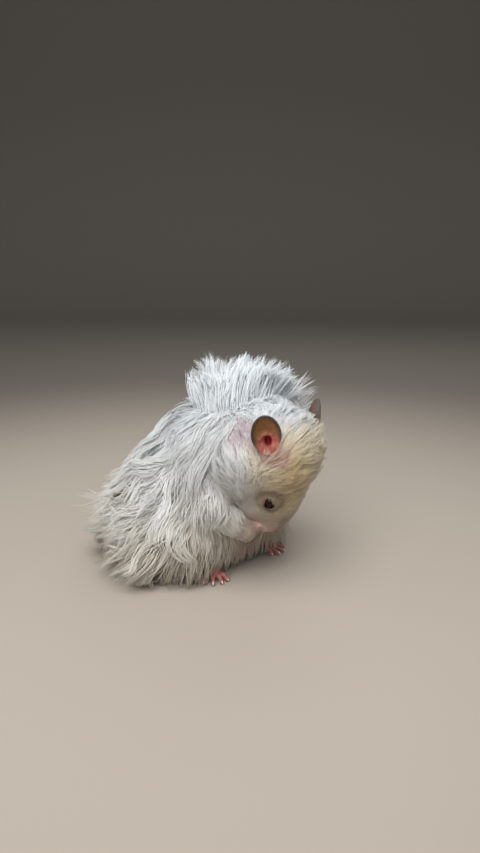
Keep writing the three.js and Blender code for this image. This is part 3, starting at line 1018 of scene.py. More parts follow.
@dataclass
class SkinPiece:
    """The one skin that stands for all the flesh."""

    flesh: Flesh
    markings: Markings
    cell: float = 0.4
    block: int = 2
    low: Triple = (-32, -60, -1)
    high: Triple = (32, 42, 70)
    points: Array = field(init=False)
    quads: Array = field(init=False)
    zone: Array = field(init=False)

    def shape(self) -> None:
        """Nets the skin's surface and draws each point onto it along the field's slope."""
        values = lattice(self.flesh.skin, vec(*self.low), vec(*self.high), self.cell)
        points, number = net_points(values)
        self.quads = net_quads(values < 0, number)
        points = vec(*self.low) + points * self.cell
        for _ in range(2):
            slope = gradient(self.flesh.skin, points, 0.1)
            move = np.clip(self.flesh.skin(points), -0.3 * self.cell, 0.3 * self.cell)
            points = points - slope * move[:, None]
        self.points = points
        self.zone = np.argmin(self.flesh.zones(points), -1)

    def merged(self) -> tuple[Array, Array]:
        """The net with larger cells where the coat is deep: the points in one block become one.

        A merged point is the mean of its block's points, drawn back onto the surface. A quad that loses an
        edge becomes a triangle, and one that loses more closes up and goes.

        Returns:
            Points, and faces as `build_mesh` takes them.
        """
        head = self.flesh.head.local(self.points)
        deep = (self.zone == Zone.TRUNK.value) | ((self.zone == Zone.HEAD.value) & (head[:, 1] < -4))
        for ear in self.flesh.ears.values():
            deep &= ear.room(self.points) > 3
        cell = np.floor((self.points - vec(*self.low)) / (self.block * self.cell)).astype(int)
        code = np.where(deep, (cell[:, 0] * 1000 + cell[:, 1]) * 1000 + cell[:, 2], -1 - np.arange(len(deep)))
        _, number = np.unique(code, return_inverse=True)
        size = np.bincount(number)
        points = np.stack([np.bincount(number, axis) / size for axis in self.points.T], -1)
        moved = size > 1
        for _ in range(3):
            at = points[moved]
            move = np.clip(self.flesh.skin(at), -0.4, 0.4)[:, None]
            points[moved] = at - gradient(self.flesh.skin, at, 0.1) * move
        faces = number[self.quads]
        lost = (faces == np.roll(faces, -1, 1)).sum(1)
        faces = faces[(lost < 2) & (faces[:, 0] != faces[:, 2]) & (faces[:, 1] != faces[:, 3])]
        return points, np.where(faces == np.roll(faces, -1, 1), -1, faces)

    def dress(self, finish: "SkinFinish") -> bpy.types.Object:
        """Builds the object, gives it its finish and lets it stand for the nodes of flesh.

        Args:
            finish: its finish.
        Returns:
            The object.
        """
        points, faces = self.merged()
        zone = np.argmin(self.flesh.zones(points), -1)
        skin = build_mesh("skin", points, faces, self.markings.bare(points, zone, self.flesh.ears))
        skin.data.materials.append(finish.material())
        flesh = [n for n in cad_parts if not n.startswith("eye")]
        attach(skin, "root")
        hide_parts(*flesh)
        return skin


# ------------------------------------------------------------------ finishes


class NodeMaterial:
    """A node material while its nodes are being added: the material, its node tree and its shader."""

    def __init__(self, name: str) -> None:
        """An empty material with its shader.

        Args:
            name: the material's name.
        """
        self.material = bpy.data.materials.new(name)
        self.material.use_nodes = True
        self.tree = self.material.node_tree
        self.shader = self.tree.nodes["Principled BSDF"]

    def add(self, kind: str, **values: object) -> bpy.types.Node:
        """A new node with its properties and the sockets named in values set.

        Args:
            kind: the node's type.
            values: what to set, by name.
        Returns:
            The node.
        """
        node = self.tree.nodes.new(kind)
        for key, value in values.items():
            if key in node.inputs:
                node.inputs[key].default_value = value
            else:
                setattr(node, key, value)
        return node

    def link(self, source: bpy.types.Node, output: str, target: bpy.types.Node, socket: str | int) -> None:
        """Joins one node's output to another's socket."""
        self.tree.links.new(source.outputs[output], target.inputs[socket])

    def noise(self, **values: float) -> bpy.types.Node:
        """A noise laid over the object's own place.

        Args:
            values: its sockets.
        Returns:
            The node.
        """
        noise = self.add("ShaderNodeTexNoise", **values)
        self.link(self.add("ShaderNodeTexCoord"), "Object", noise, "Vector")
        return noise

    def mottle(self, low: float, high: float, **values: float) -> None:
        """Base colour: the points' own colours, brightened and darkened by a noise.

        Args:
            low: brightness where the noise is low.
            high: brightness where it is high.
            values: the noise's sockets.
        """
        span = {"From Min": 0.3, "From Max": 0.7, "To Min": low, "To Max": high}
        ramp = self.add("ShaderNodeMapRange", **span)
        self.link(self.noise(**values), "Fac", ramp, "Value")
        tone = self.add("ShaderNodeVectorMath", operation="SCALE")
        self.link(self.add("ShaderNodeAttribute", attribute_name="tint"), "Color", tone, 0)
        self.link(ramp, "Result", tone, "Scale")
        self.link(tone, "Vector", self.shader, "Base Color")

    def ramped(
        self, source: bpy.types.Node, output: str, stops: dict[float, Colour]
    ) -> bpy.types.Node:
        """Base colour: two sRGB colours, mixed by a node's output.

        Args:
            source: the node.
            output: its output.
            stops: each colour by its place from 0 to 1.
        Returns:
            The ramp.
        """
        ramp = self.add("ShaderNodeValToRGB")
        for stop, (at, colour) in zip(ramp.color_ramp.elements, stops.items()):
            stop.position = at
            stop.color = (*linear(*colour), 1)
        self.link(source, output, ramp, "Fac")
        self.link(ramp, "Color", self.shader, "Base Color")
        return ramp

    def settle(self, **values: object) -> bpy.types.Material:
        """Sets the shader's sockets.

        Args:
            values: what to set, by name with _ for a space.
        Returns:
            The material.
        """
        for key, value in values.items():
            self.shader.inputs[key.replace("_", " ")].default_value = value
        return self.material


@dataclass(frozen=True)
class SkinFinish:
    """Bare skin and the short hair that lies flat on it: mottled colour, fine grain in relief."""

    name: str = "skin_and_down"
    mottle: float = 700.0
    grain: float = 1500.0
    relief: float = 0.00012
    roughness: float = 0.62

    def material(self) -> bpy.types.Material:
        """Point colours varied by noise, with bump from a fine grain.

        Returns:
            The material.
        """
        made = NodeMaterial(self.name)
        made.mottle(0.84, 1.1, Scale=self.mottle, Detail=4.0)
        bump = made.add("ShaderNodeBump", Strength=0.6, Distance=self.relief)
        made.link(made.noise(Scale=self.grain, Detail=3.0, Roughness=0.7), "Fac", bump, "Height")
        made.link(bump, "Normal", made.shader, "Normal")
        return made.settle(
            Roughness=self.roughness,
            Specular_IOR_Level=0.3,
            Subsurface_Weight=0.12,
            Subsurface_Radius=(1.0, 0.35, 0.2),
            Subsurface_Scale=0.0012,
        )


@dataclass(frozen=True)
class CoatFinish:
    """Fine pale hair: the markings' colours varied from tuft to tuft, with a soft sheen."""

    name: str = "coat_hair"
    roughness: float = 0.6
    sheen: float = 0.3
    depth: float = 0.2
    patch: float = 170.0

    def material(self) -> bpy.types.Material:
        """Point colours with a slow drift in brightness.

        Returns:
            The material.
        """
        made = NodeMaterial(self.name)
        made.mottle(0.93, 1.04, Scale=self.patch, Detail=3.0, Roughness=0.6)
        return made.settle(
            Roughness=self.roughness,
            Specular_IOR_Level=0.25,
            Sheen_Weight=self.sheen,
            Sheen_Roughness=0.5,
            Subsurface_Weight=self.depth,
            Subsurface_Radius=(1.0, 0.9, 0.8),
            Subsurface_Scale=0.0015,
        )


@dataclass(frozen=True)
class EyeFinish:
    """A wet, nearly black eye with a faint brown ring of iris."""

    name: str = "eye_dark"
    pupil: Colour = (8, 6, 6)
    iris: Colour = (44, 26, 17)

    def material(self) -> bpy.types.Material:
        """Brown mixed over black by noise, under a clear gloss.

        Returns:
            The material.
        """
        made = NodeMaterial(self.name)
        made.ramped(made.noise(Scale=1400.0, Detail=2.0), "Fac", {0.35: self.pupil, 0.85: self.iris})
        return made.settle(Roughness=0.12, Specular_IOR_Level=0.25)


@dataclass(frozen=True)
class HornFinish:
    """Claws and whiskers: pale horn with a slight streak."""

    name: str = "horn_pale"
    light: Colour = (236, 224, 212)
    dark: Colour = (206, 176, 160)

    def material(self) -> bpy.types.Material:
        """Two tones mixed by noise.

        Returns:
            The material.
        """
        made = NodeMaterial(self.name)
        made.ramped(made.noise(Scale=1100.0, Detail=2.0), "Fac", {0.0: self.dark, 1.0: self.light})
        return made.settle(Roughness=0.3)


# ------------------------------------------------------------------ small hard pieces


@dataclass
class Eyeball:
    """An eye: a ball whose front swells into a cornea."""

    head: Head
    side: Side
    around: int = 48
    along: int = 28
    swell: float = 0.12
    gap: float = 0.06

    def build(self, finish: EyeFinish) -> bpy.types.Object:
        """A ball on a grid of angles, drawn out by a hump round its outward pole.

        Args:
            finish: its finish.
        Returns:
            The object.
        """
        a = np.linspace(0, 2 * math.pi, self.around, endpoint=False)
        b = np.linspace(0, math.pi, self.along)[1:-1]
        bb, aa = np.meshgrid(b, a, indexing="ij")
        ball = np.stack([np.sin(bb) * np.cos(aa), np.sin(bb) * np.sin(aa), np.cos(bb)], -1).reshape(-1, 3)
        ball = np.concatenate([ball, [(0, 0, 1), (0, 0, -1)]])
        reach = self.head.eye_radius - self.gap
        ball *= (reach + self.swell * step(0.75, 1.0, ball[:, 2]))[:, None]
        axes = self.head.eye_axes(self.side)
        if np.linalg.det(axes) < 0:
            axes = axes * vec(1, -1, 1)[:, None]
        points = vec(*self.head.centre) + (ball @ axes + self.head.eye_at(self.side)) @ self.head.axes
        rows, n = self.along - 2, self.around
        grid = np.arange(rows * n).reshape(rows, n)
        nxt = np.roll(grid, -1, 1)
        quads = np.stack([grid[:-1], grid[1:], nxt[1:], nxt[:-1]], -1).reshape(-1, 4)
        top, bottom = rows * n, rows * n + 1
        caps = np.concatenate(
            [
                np.stack([np.full(n, top), grid[0], nxt[0], np.full(n, -1)], -1),
                np.stack([np.full(n, bottom), nxt[-1], grid[-1], np.full(n, -1)], -1),
            ]
        )
        if np.linalg.det(self.head.axes) * np.linalg.det(axes) < 0:
            quads, caps = quads[:, ::-1], np.stack([caps[:, 0], caps[:, 2], caps[:, 1], caps[:, 3]], -1)
        name = f"eyeball_{self.side.name.lower()}"
        eye = build_mesh(name, points, np.concatenate([quads, caps]))
        eye.data.materials.append(finish.material())
        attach(eye, "root")
        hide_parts(f"eye_{self.side.name.lower()}")
        return eye


def tubes(paths: Array, radii: Array, sides: int) -> tuple[Array, Array]:
    """Closed round tubes along many paths at once, each ending in a point.

    Args:
        paths: tube, station and place; the last station is the tip.
        radii: one a tube and station, the last unused.
        sides: corners of a section.
    Returns:
        Points and faces, as for build_mesh.
    """
    count, stations = paths.shape[:2]
    ahead = unit(np.gradient(paths, axis=1))
    across = unit(np.cross(ahead, vec(0.31, 0.17, 0.93)))
    over = np.cross(across, ahead)
    turn = np.arange(sides) / sides * 2 * math.pi
    ring = across[:, :-1, None] * np.cos(turn)[:, None] + over[:, :-1, None] * np.sin(turn)[:, None]
    rings = paths[:, :-1, None] + ring * radii[:, :-1, None, None]
    points = np.concatenate([rings.reshape(count, -1, 3), paths[:, -1:]], 1)
    return points.reshape(-1, 3), tube_faces(count, stations - 1, sides)


def tube_faces(count: int, rings: int, sides: int) -> Array:
    """Faces of closed tubes: quads between rings, a fan at the tip and a cap at the root.

    Args:
        count: how many tubes.
        rings: sections of each, without the tip.
        sides: corners of a section.
    Returns:
        Point numbers, one face a row, padded with -1 where it is a triangle.
    """
    k, j = np.meshgrid(np.arange(rings - 1), np.arange(sides), indexing="ij")
    nxt = (j + 1) % sides
    walls = np.stack([k * sides + j, k * sides + nxt, (k + 1) * sides + nxt, (k + 1) * sides + j], -1)
    last = (rings - 1) * sides
    j = np.arange(sides)
    tip = np.stack([last + j, last + (j + 1) % sides, np.full(sides, rings * sides), np.full(sides, -1)], -1)
    fan = np.arange(1, sides - 1)
    cap = np.stack([0 * fan, fan + 1, fan, 0 * fan - 1], -1)
    one = np.concatenate([walls.reshape(-1, 4), tip, cap])
    size = rings * sides + 1
    many = one[None] + (np.arange(count) * size)[:, None, None]
    return np.where(one[None] < 0, -1, many).reshape(-1, 4)


@dataclass
class Claws:
    """The nails of fingers and toes: small bent cones."""

    limbs: Limbs
    stations: int = 7
    bow: float = 0.45
    stoutness: float = 0.42

    def build(self, finish: HornFinish) -> bpy.types.Object:
        """Each nail follows a bow from its base to its tip and narrows as the square root of what is left.

        Args:
            finish: their finish.
        Returns:
            The object.
        """
        chains = [c for side in Side for c in (*self.limbs.digits(side), *self.limbs.toe_chain(side))]
        t = np.linspace(0, 1, self.stations)
        paths = []
        for _, knuckle, nail, tip, _ in chains:
            base = mix(nail, knuckle, 0.12) + vec(0, 0, 0.2)
            bow = vec(0, 0, 1) * (self.bow * np.sin(math.pi * t))[:, None]
            paths.append(mix(base[None], tip[None], t[:, None]) + bow)
        sizes = vec(*(c[4] for c in chains))[:, None] * self.stoutness * np.sqrt(1 - 0.96 * t)[None]
        points, faces = tubes(np.array(paths), sizes, 8)
        points[:, 2] = np.maximum(points[:, 2], 0.05)
        claws = build_mesh("claws", points, faces)
        claws.data.materials.append(finish.material())
        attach(claws, "root")
        return claws


@dataclass
class Whiskers:
    """Fine stiff hairs that spring from the whisker pads and sweep back."""

    head: Head
    count: int = 14
    length: float = 15.0
    radius: float = 0.07
    stations: int = 9
    rows: int = 4
    seed: int = 11

    def build(self, finish: HornFinish) -> bpy.types.Object:
        """Each whisker bends steadily from aside towards the back as it leaves the pad.

        Args:
            finish: their finish.
        Returns:
            The object.
        """
        rng = np.random.default_rng(self.seed)
        t = np.linspace(0, 1, self.stations)[None, :, None]
        paths = []
        for side in Side:
            s = side.value
            n = self.count
            row, col = np.arange(n) % self.rows, np.arange(n) // self.rows
            root = np.stack([s * (4.9 - 0.25 * col), 28.0 - 1.5 * col, -3.0 - 0.75 * row], -1)
            way = unit(np.stack([np.full(n, 1.0 * s), 0.15 - 0.25 * col, 0.35 - 0.3 * row], -1))
            way = unit(way + rng.normal(0, 0.07, way.shape))
            length = (self.length * rng.uniform(0.6, 1.0, n))[:, None, None]
            bend = vec(-0.1 * s, -0.55, 0.1)
            line = root[:, None] + (way[:, None] * t + bend * t**2 * 0.6) * length
            paths.append(line @ self.head.axes + vec(*self.head.centre))
        paths = np.concatenate(paths)
        radii = np.broadcast_to(self.radius * (1 - 0.8 * t[..., 0]), paths.shape[:2])
        points, faces = tubes(paths, radii, 4)
        whiskers = build_mesh("whiskers", points, faces)
        whiskers.data.materials.append(finish.material())
        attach(whiskers, "root")
        return whiskers


# ------------------------------------------------------------------ the coat


class Growth(Enum):
    """How a coat's hair lies."""

    OVER_TRUNK = "over the trunk"
    OVER_HEAD = "over the head"
    OVER_LIMBS = "over the limbs"
    OVER_NECK = "over the neck"
    STANDING = "standing"


@dataclass
class Lie:
    """Where the hair points and how high it lies, as functions of place."""

    flesh: Flesh
    whorl: Triple = (0, -17, 62)
    drop: float = 0.35
    spread: float = 0.6
    sweep: float = 0.8
    thrown: Triple = (1.3, -0.7, -0.15)
    crown_way: Triple = (1, 0.15, 0)
    crown_sweep: float = 1.5
    middle: Triple = (0, -6, 32)
    short: float = 1.5
    back: float = 5.5
    crest: float = 5.0
    skirt: float = 9.5
    ridges: float = 10.0
    ridge_depth: float = 2.0
    relief: float = 1.4
    puff: Mass = Mass((17.5, -3.5, -5.0), (6.5, 6.5, 6.5))
    puff_depth: float = 2.6
    limb_depth: float = 2.4
    neck_depth: float = 6.5
    neck_way: Triple = (0.6, 0.3, -0.75)
    limb_way: Triple = (0, -0.6, -0.8)
    parting: float = 1.3
    eye_parting: float = 5.5
    ear_parting: float = 8.5

    def surface(self, growth: Growth) -> Field:
        """The outer surface of the coat for a kind of growth."""
        return lambda p: self.flesh.masses(p) - self.depth(growth, p)

    def trunk_depth(self, p: Array) -> Array:
        """Height of the trunk's coat: short in front, long on the back, longest at the skirt's ridges.

        Args:
            p: points, one a row.
        Returns:
            One height a point.
        """
        x, y, z = p.T
        behind = step(-26, -10, y) * (1 - 0.45 * step(38, 52, z))
        top = step(55, 68, z) * step(-40, -24, y) * (1 - step(0, 18, y))
        hem = step(-32, -14, y) * (1 - step(12, 40, z)) * step(-3, 2.5, z)
        ridge = np.abs(np.sin(self.ridges / 2 * np.arctan2(x, y - self.middle[1])))
        return (
            self.short
            + (self.back + self.relief * waves(p, 17, 3)) * behind * step(0, 10, z)
            + self.crest * top
            + hem * (self.skirt + self.ridge_depth * ridge)
        )

    def head_depth(self, p: Array) -> Array:
        """Height of the head's coat, from deep at the nape to close on the muzzle, with puffed cheeks.

        Args:
            p: points, one a row.
        Returns:
            One height a point.
        """
        q = self.flesh.head.local(p)
        depth = mix(4.0, 0.7, step(0, 22, q[:, 1]))
        q[:, 0] = np.abs(q[:, 0])
        return depth + self.puff_depth * self.puff.blot(q)

    def length(self, growth: Growth, p: Array) -> Array:
        """How long hair is, as a share: on the head it shortens from the nape to the nose.

        Args:
            growth: the kind of growth.
            p: points, one a row.
        Returns:
            One share a point.
        """
        if growth is Growth.OVER_HEAD:
            return mix(1.0, 0.26, step(-4, 25, self.flesh.head.local(p)[:, 1]))
        if growth is Growth.OVER_LIMBS:
            wrists = (np.linalg.norm(p - vec(*at), axis=-1) for at in self.flesh.limbs.wrists.values())
            return mix(0.25, 1.0, step(3, 12, np.minimum(*wrists)))
        return np.ones(len(p))

    def trunk(self, p: Array) -> Array:
        """Away from the whorl and down, outwards at the skirt, thrown to the left over the nape.

        Args:
            p: points, one a row.
        Returns:
            One direction a point, of any length.
        """
        away = unit(p - vec(*self.whorl))
        low = (1 - step(8, 44, p[:, 2]))[:, None]
        out = unit((p - vec(*self.middle)) * vec(1, 1, 0))
        behind = step(-20, 0, p[:, 1])[:, None]
        flow = away + vec(0, 0, -self.drop) + out * low * self.spread * behind
        flow = flow + vec(0, self.sweep, 0) * behind
        thrown = (step(-14, 4, p[:, 0]) * step(50, 60, p[:, 2]) * (1 - step(-16, -4, p[:, 1])))[:, None]
        return flow + vec(*self.thrown) * thrown

    def over_head(self, p: Array) -> Array:
        """Back from the nose, swept to the left over the crown, and parted round each eye and ear.

        Args:
            p: points, one a row.
        Returns:
            One direction a point, of any length.
        """
        head = self.flesh.head
        q = head.local(p)
        flow = np.broadcast_to(-head.axes[1], p.shape) + unit(q * vec(1, 0, 1)) @ head.axes * 0.25
        crown = (step(0, 8, q[:, 2]) * (1 - step(6, 20, q[:, 1])))[:, None]
        flow = flow + head.way(*self.crown_way) * crown * self.crown_sweep
        for side in Side:
            flow = self.parted(flow, p - head.eye_place(side), self.eye_parting)
        for ear in self.flesh.ears.values():
            flow = self.parted(flow, p - (ear.at - ear.axes[2] * 4), self.ear_parting)
        return flow

    def parted(self, flow: Array, away: Array, reach: float) -> Array:
        """A flow turned round an obstacle: where it heads inwards, it is pushed out by exp(-(d/reach)^2).

        Args:
            flow: the directions.
            away: from the obstacle to each point.
            reach: where the push has mostly faded.
        Returns:
            One direction a point, of any length.
        """
        close = np.exp(-((np.linalg.norm(away, axis=-1) / reach) ** 2))[:, None]
        away = unit(away)
        return flow + away * close * np.maximum(-dot(unit(flow), away), 0) * self.parting

    def way(self, growth: Growth, p: Array) -> Array:
        """The direction for a kind of growth.

        Args:
            growth: the kind of growth.
            p: points, one a row.
        Returns:
            One direction a point, of any length.
        """
        if growth is Growth.OVER_HEAD:
            return self.over_head(p)
        if growth is Growth.OVER_LIMBS:
            return np.broadcast_to(vec(*self.limb_way), p.shape)
        if growth is Growth.OVER_NECK:
            return vec(*self.neck_way) * np.stack([np.sign(p[:, 0]), *np.ones((2, len(p)))], -1)
        return self.trunk(p)

    def depth(self, growth: Growth, p: Array) -> Array:
        """The coat's height for a kind of growth.

        Args:
            growth: the kind of growth.
            p: points, one a row.
        Returns:
            One height a point.
        """
        if growth is Growth.OVER_HEAD:
            return self.head_depth(p)
        if growth is Growth.OVER_LIMBS:
            return np.full(len(p), self.limb_depth)
        if growth is Growth.OVER_NECK:
            return np.full(len(p), self.neck_depth)
        return self.trunk_depth(p)


@dataclass
class Coat:
    """One piece of the coat: its roots, the paths of its hairs, and their mesh.

    Hairs stand in locks about `lock` apart and in finer tresses about `tress` apart, drawn together by
    `clump`. They leave the skin by `lift`, from flat at 0 to upright at 1, in `stations` steps. On the way
    they ripple by `wave`, turn aside by `wander`, sink by `fall`, curl by `stray`, and spread from the body
    by `splay`, with `flick` at the tips; `high` scales the height that they lie at. Standing hair leans by
    `lean`, is thrown by `throw` on the left, and gives in to the coat's lie by `follow`. `bleach` whitens
    the hair, and `glow` turns its shading towards the light.
    """

    name: str
    growth: Growth
    where: Density
    count: int
    length: tuple[float, float]
    width: float
    stations: int = 6
    lift: float = 0.5
    lock: float = 4.0
    clump: float = 0.6
    tress: float = 1.4
    wave: float = 0.5
    wander: float = 0.25
    fall: float = 0.25
    splay: float = 0.0
    flick: float = 0.0
    high: float = 1.0
    lean: Triple = (0, 0, 0)
    throw: Triple = (0, 0, 0)
    stray: float = 0.12
    follow: float = 0.3
    bleach: float = 0.0
    glow: float = 0.0
    seed: int = 1
    slot: str = "coat_white"
    pole: Triple = (0, -6, 32)
    reach_middle: Triple = (0, -6, 44)
    reach: Triple = (50.5, 54.0, 44.0)
    ripples: float = 1.3
    keep: float = 0.5
    give: float = 0.7
    sunk: float = 0.15
    skin_gap: float = 0.12
    floor_gap: float = 0.35
    lid_out: float = 2.6
    lid_reach: float = 1.95
    gaze_out: float = 3.2
    gaze_reach: float = 1.7
    light_from: Triple = (-0.4, -0.3, 0.85)
    bake_size: float = 0.003
    area: float = field(init=False, default=1.0)

    def roots(self, skin: SkinPiece, rng: np.random.Generator) -> tuple[Array, Array]:
        """Places on the skin, spread by area times the density that `where` gives.

        Args:
            skin: the netted skin.
            rng: the piece's own random numbers.
        Returns:
            Root places, and the outward direction at each.
        """
        a, b, c, d = (skin.points[skin.quads[:, i]] for i in range(4))
        middle = (a + b + c + d) / 4
        normal = np.cross(c - a, d - b)
        area = np.linalg.norm(normal, axis=-1)
        density = self.where(middle, skin.zone[skin.quads[:, 0]])
        self.area = 0.5 * area[density > 0.2].sum() + 1
        weight = area * np.maximum(density, 0)
        share = np.cumsum(weight) / weight.sum()
        face = np.searchsorted(share, (np.arange(self.count) + rng.uniform(0, 1, self.count)) / self.count)
        face = np.minimum(face, len(a) - 1)
        u, v = rng.uniform(0, 1, (2, self.count, 1))
        at = mix(mix(a[face], b[face], u), mix(d[face], c[face], u), v)
        order = rng.permutation(self.count)
        return at[order], unit(normal[face])[order]

    def nearest(self, points: Array, spacing: float, rng: np.random.Generator) -> tuple[Array, Array]:
        """Groups points round some of their own number, about one group to a square of the spacing.

        Args:
            points: one a row.
            spacing: side of the square.
            rng: the piece's own random numbers.
        Returns:
            The group of each point, and the points that the groups stand round.
        """
        groups = int(np.clip(self.area / spacing**2, 2, len(points) // 2))
        centres = points[rng.choice(len(points), groups, replace=False)].astype(np.float32)
        p = points.astype(np.float32)
        group = np.empty(len(p), int)
        for start in range(0, len(p), 4000):
            block = p[start : start + 4000]
            square = (block**2).sum(-1)[:, None] - 2 * block @ centres.T + (centres**2).sum(-1)
            group[start : start + 4000] = square.argmin(1)
        return group, centres.astype(float)

    def comb(self, lie: Lie, root: Array, normal: Array, traits: dict[str, Array]) -> Array:
        """Hair paths: each step goes on, turns to the lie of the coat, and seeks its own height in it.

        Args:
            lie: directions and heights.
            root: where hairs grow.
            normal: outward there.
            traits: arrays, one a hair: length, height (share of the coat's depth), turn (a sideways
                lean), phase and wave (of its ripple), and rise (how it leaves the skin).
        Returns:
            Hair, station, place.
        """
        flesh = lie.flesh
        pace = traits["length"] / (self.stations - 1)
        p = root - normal * self.sunk
        heading = unit(unit(lie.way(self.growth, root)) * (1 - self.lift) + normal * self.lift)
        heading = unit(heading + traits["turn"][:, None] * np.cross(normal, heading))
        path = [p]
        for k in range(1, self.stations):
            t = k / (self.stations - 1)
            level = flesh.masses(p)
            up = gradient(flesh.masses, p, 0.3)
            flow = lie.way(self.growth, p)
            flow = unit(flow - dot(flow, up) * up)
            side = np.cross(up, flow)
            ripple = traits["wave"] * np.sin(2 * math.pi * self.ripples * t + traits["phase"])
            flow = flow + side * (traits["turn"] + ripple)[:, None]
            if self.growth is Growth.STANDING:
                want = heading + up * traits["rise"][:, None] * (1 - t) + flow * self.follow * t
                want = want + vec(*self.lean) + vec(*self.throw) * step(-8, 12, root[:, 0])[:, None]
                want = want + vec(0, 0, -1) * self.fall * t + side * ripple[:, None] + traits["curl"] * t * t
            else:
                aim = lie.depth(self.growth, p) * traits["height"] * self.high * (1 - (1 - t) ** 2)
                climb = np.clip((aim - level) / pace, -1.0, 1.3)
                want = flow + up * climb[:, None] + vec(0, 0, -1) * self.fall * t
                out = unit(up * vec(1, 1, 0.15) + vec(0, 0, 0.25))
                splay = self.splay * traits["height"] * t + self.flick * traits["flick"] * step(0.5, 1, t)
                splay = splay * step(-4, 16, root[:, 2]) * (1 - step(30, 48, root[:, 2]))
                want = want + out * splay[:, None] + traits["curl"] * t
            heading = unit(heading * self.keep + unit(want) * self.give)
            p = p + heading * pace[:, None]
            p = self.kept_clear(flesh, p)
            path.append(p)
        return np.stack(path, 1)

    def kept_clear(self, flesh: Flesh, p: Array) -> Array:
        """Points drawn out of the flesh, the ears, the eyes and the floor.

        Args:
            flesh: the body.
            p: points, one a row.
        Returns:
            The points after their moves.
        """
        deep = np.maximum(self.skin_gap - flesh.masses(p), 0)
        p = p + gradient(flesh.masses, p, 0.3) * deep[:, None]
        for ear in flesh.ears.values():
            deep = np.maximum(-ear.room(p, 0.6, 2.6), 0)
            if (deep > 0).any():
                p = p + gradient(ear.room, p, 0.3) * np.minimum(deep, 2.0)[:, None]
        for side in Side:
            out = flesh.head.eye_way(side)
            away = p - flesh.head.eye_place(side, self.lid_out)
            deep = np.maximum(self.lid_reach - np.linalg.norm(away, axis=-1), 0)
            flat = unit(away - dot(away, out) * out)
            p = p + flat * deep[:, None]
        p[:, 2] = np.maximum(p[:, 2], self.floor_gap)
        return p

    def build(
        self, skin: SkinPiece, lie: Lie, markings: Markings, material: bpy.types.Material
    ) -> bpy.types.Object:
        """Grows the hairs, draws them into locks and tresses, and makes the piece.

        Args:
            skin: the netted skin.
            lie: directions and heights.
            markings: the shared colours.
            material: the finished material.
        Returns:
            The object.
        """
        rng = np.random.default_rng(self.seed)
        root, normal = self.roots(skin, rng)
        n = len(root)
        lock, lock_at = self.nearest(root, self.lock, rng)
        tress, tress_at = self.nearest(root, self.tress, rng)
        locks, tresses = len(lock_at), len(tress_at)
        lean = rng.normal(0, self.wander, locks)[lock] + rng.normal(0, self.wander * 0.5, tresses)[tress]
        tall = rng.uniform(0.45, 1.15, locks)[lock]
        traits = {
            "length": rng.uniform(*self.length, n) * (0.75 + 0.4 * tall) * lie.length(self.growth, root),
            "height": tall * rng.uniform(0.35, 1.0, n) ** 0.6,
            "turn": lean + rng.normal(0, self.wander * 0.3, n),
            "phase": rng.uniform(0, 2 * math.pi, locks)[lock] + rng.normal(0, 0.4, n),
            "wave": np.full(n, self.wave) * rng.uniform(0.4, 1.4, locks)[lock],
            "rise": rng.uniform(0.3, 1.0, n),
            "flick": rng.uniform(0, 1, locks)[lock],
            "curl": self.stray
            * (
                rng.normal(0, 1, (locks, 3))[lock]
                + rng.normal(0, 0.6, (tresses, 3))[tress]
                + rng.normal(0, 0.25, (n, 3))
            ),
        }
        path = self.comb(lie, root, normal, traits)
        path = self.drawn(path, lock, locks, self.clump * rng.uniform(0.5, 1.15, locks), 1.3)
        path = self.drawn(path, tress, tresses, np.full(tresses, self.clump * 0.7), 1.0)
        path[..., 2] = np.maximum(path[..., 2], 0.3)
        shade = 1 + rng.normal(0, 0.025, locks)[lock] + rng.normal(0, 0.03, n)
        free = self.free(lie.flesh, path)
        return self.mesh(path[free], root[free], shade[free], lie, markings, material)

    def free(self, flesh: Flesh, path: Array) -> Array:
        """True for hairs that keep off the ears' bowls and canals and the eyes, and don't reach too far.

        Args:
            flesh: the body.
            path: hair, station, place.
        Returns:
            One truth a hair.
        """
        flat = path.reshape(-1, 3)
        clear = (np.abs(flat - vec(*self.reach_middle)) < vec(*self.reach)).all(-1)
        for ear in flesh.ears.values():
            clear &= (ear.room(flat, -0.6, 3.4) > 0) & (ear.canal(flat) > 0.5)
        for side in Side:
            away = flat - flesh.head.eye_place(side, self.gaze_out)
            clear &= np.linalg.norm(away, axis=-1) > self.gaze_reach
        return clear.reshape(path.shape[:2]).all(1)

    def drawn(self, path: Array, group: Array, groups: int, pull: Array, power: float) -> Array:
        """Draws the hairs of each group towards the group's mean path, more towards their tips.

        Args:
            path: hair, station, place.
            group: each hair's group.
            groups: how many groups there are.
            pull: each group's pull at the tips, from 0 to 1.
            power: how late along the hair the pull comes.
        Returns:
            The paths after their moves.
        """
        count = np.maximum(np.bincount(group, minlength=groups), 1)
        total = np.zeros((groups, *path.shape[1:]))
        np.add.at(total, group, path)
        mean = total / count[:, None, None]
        t = np.linspace(0, 1, path.shape[1]) ** power
        share = np.clip(pull[group], 0, 0.95)[:, None, None] * t[None, :, None]
        return mix(path, mean[group], share)

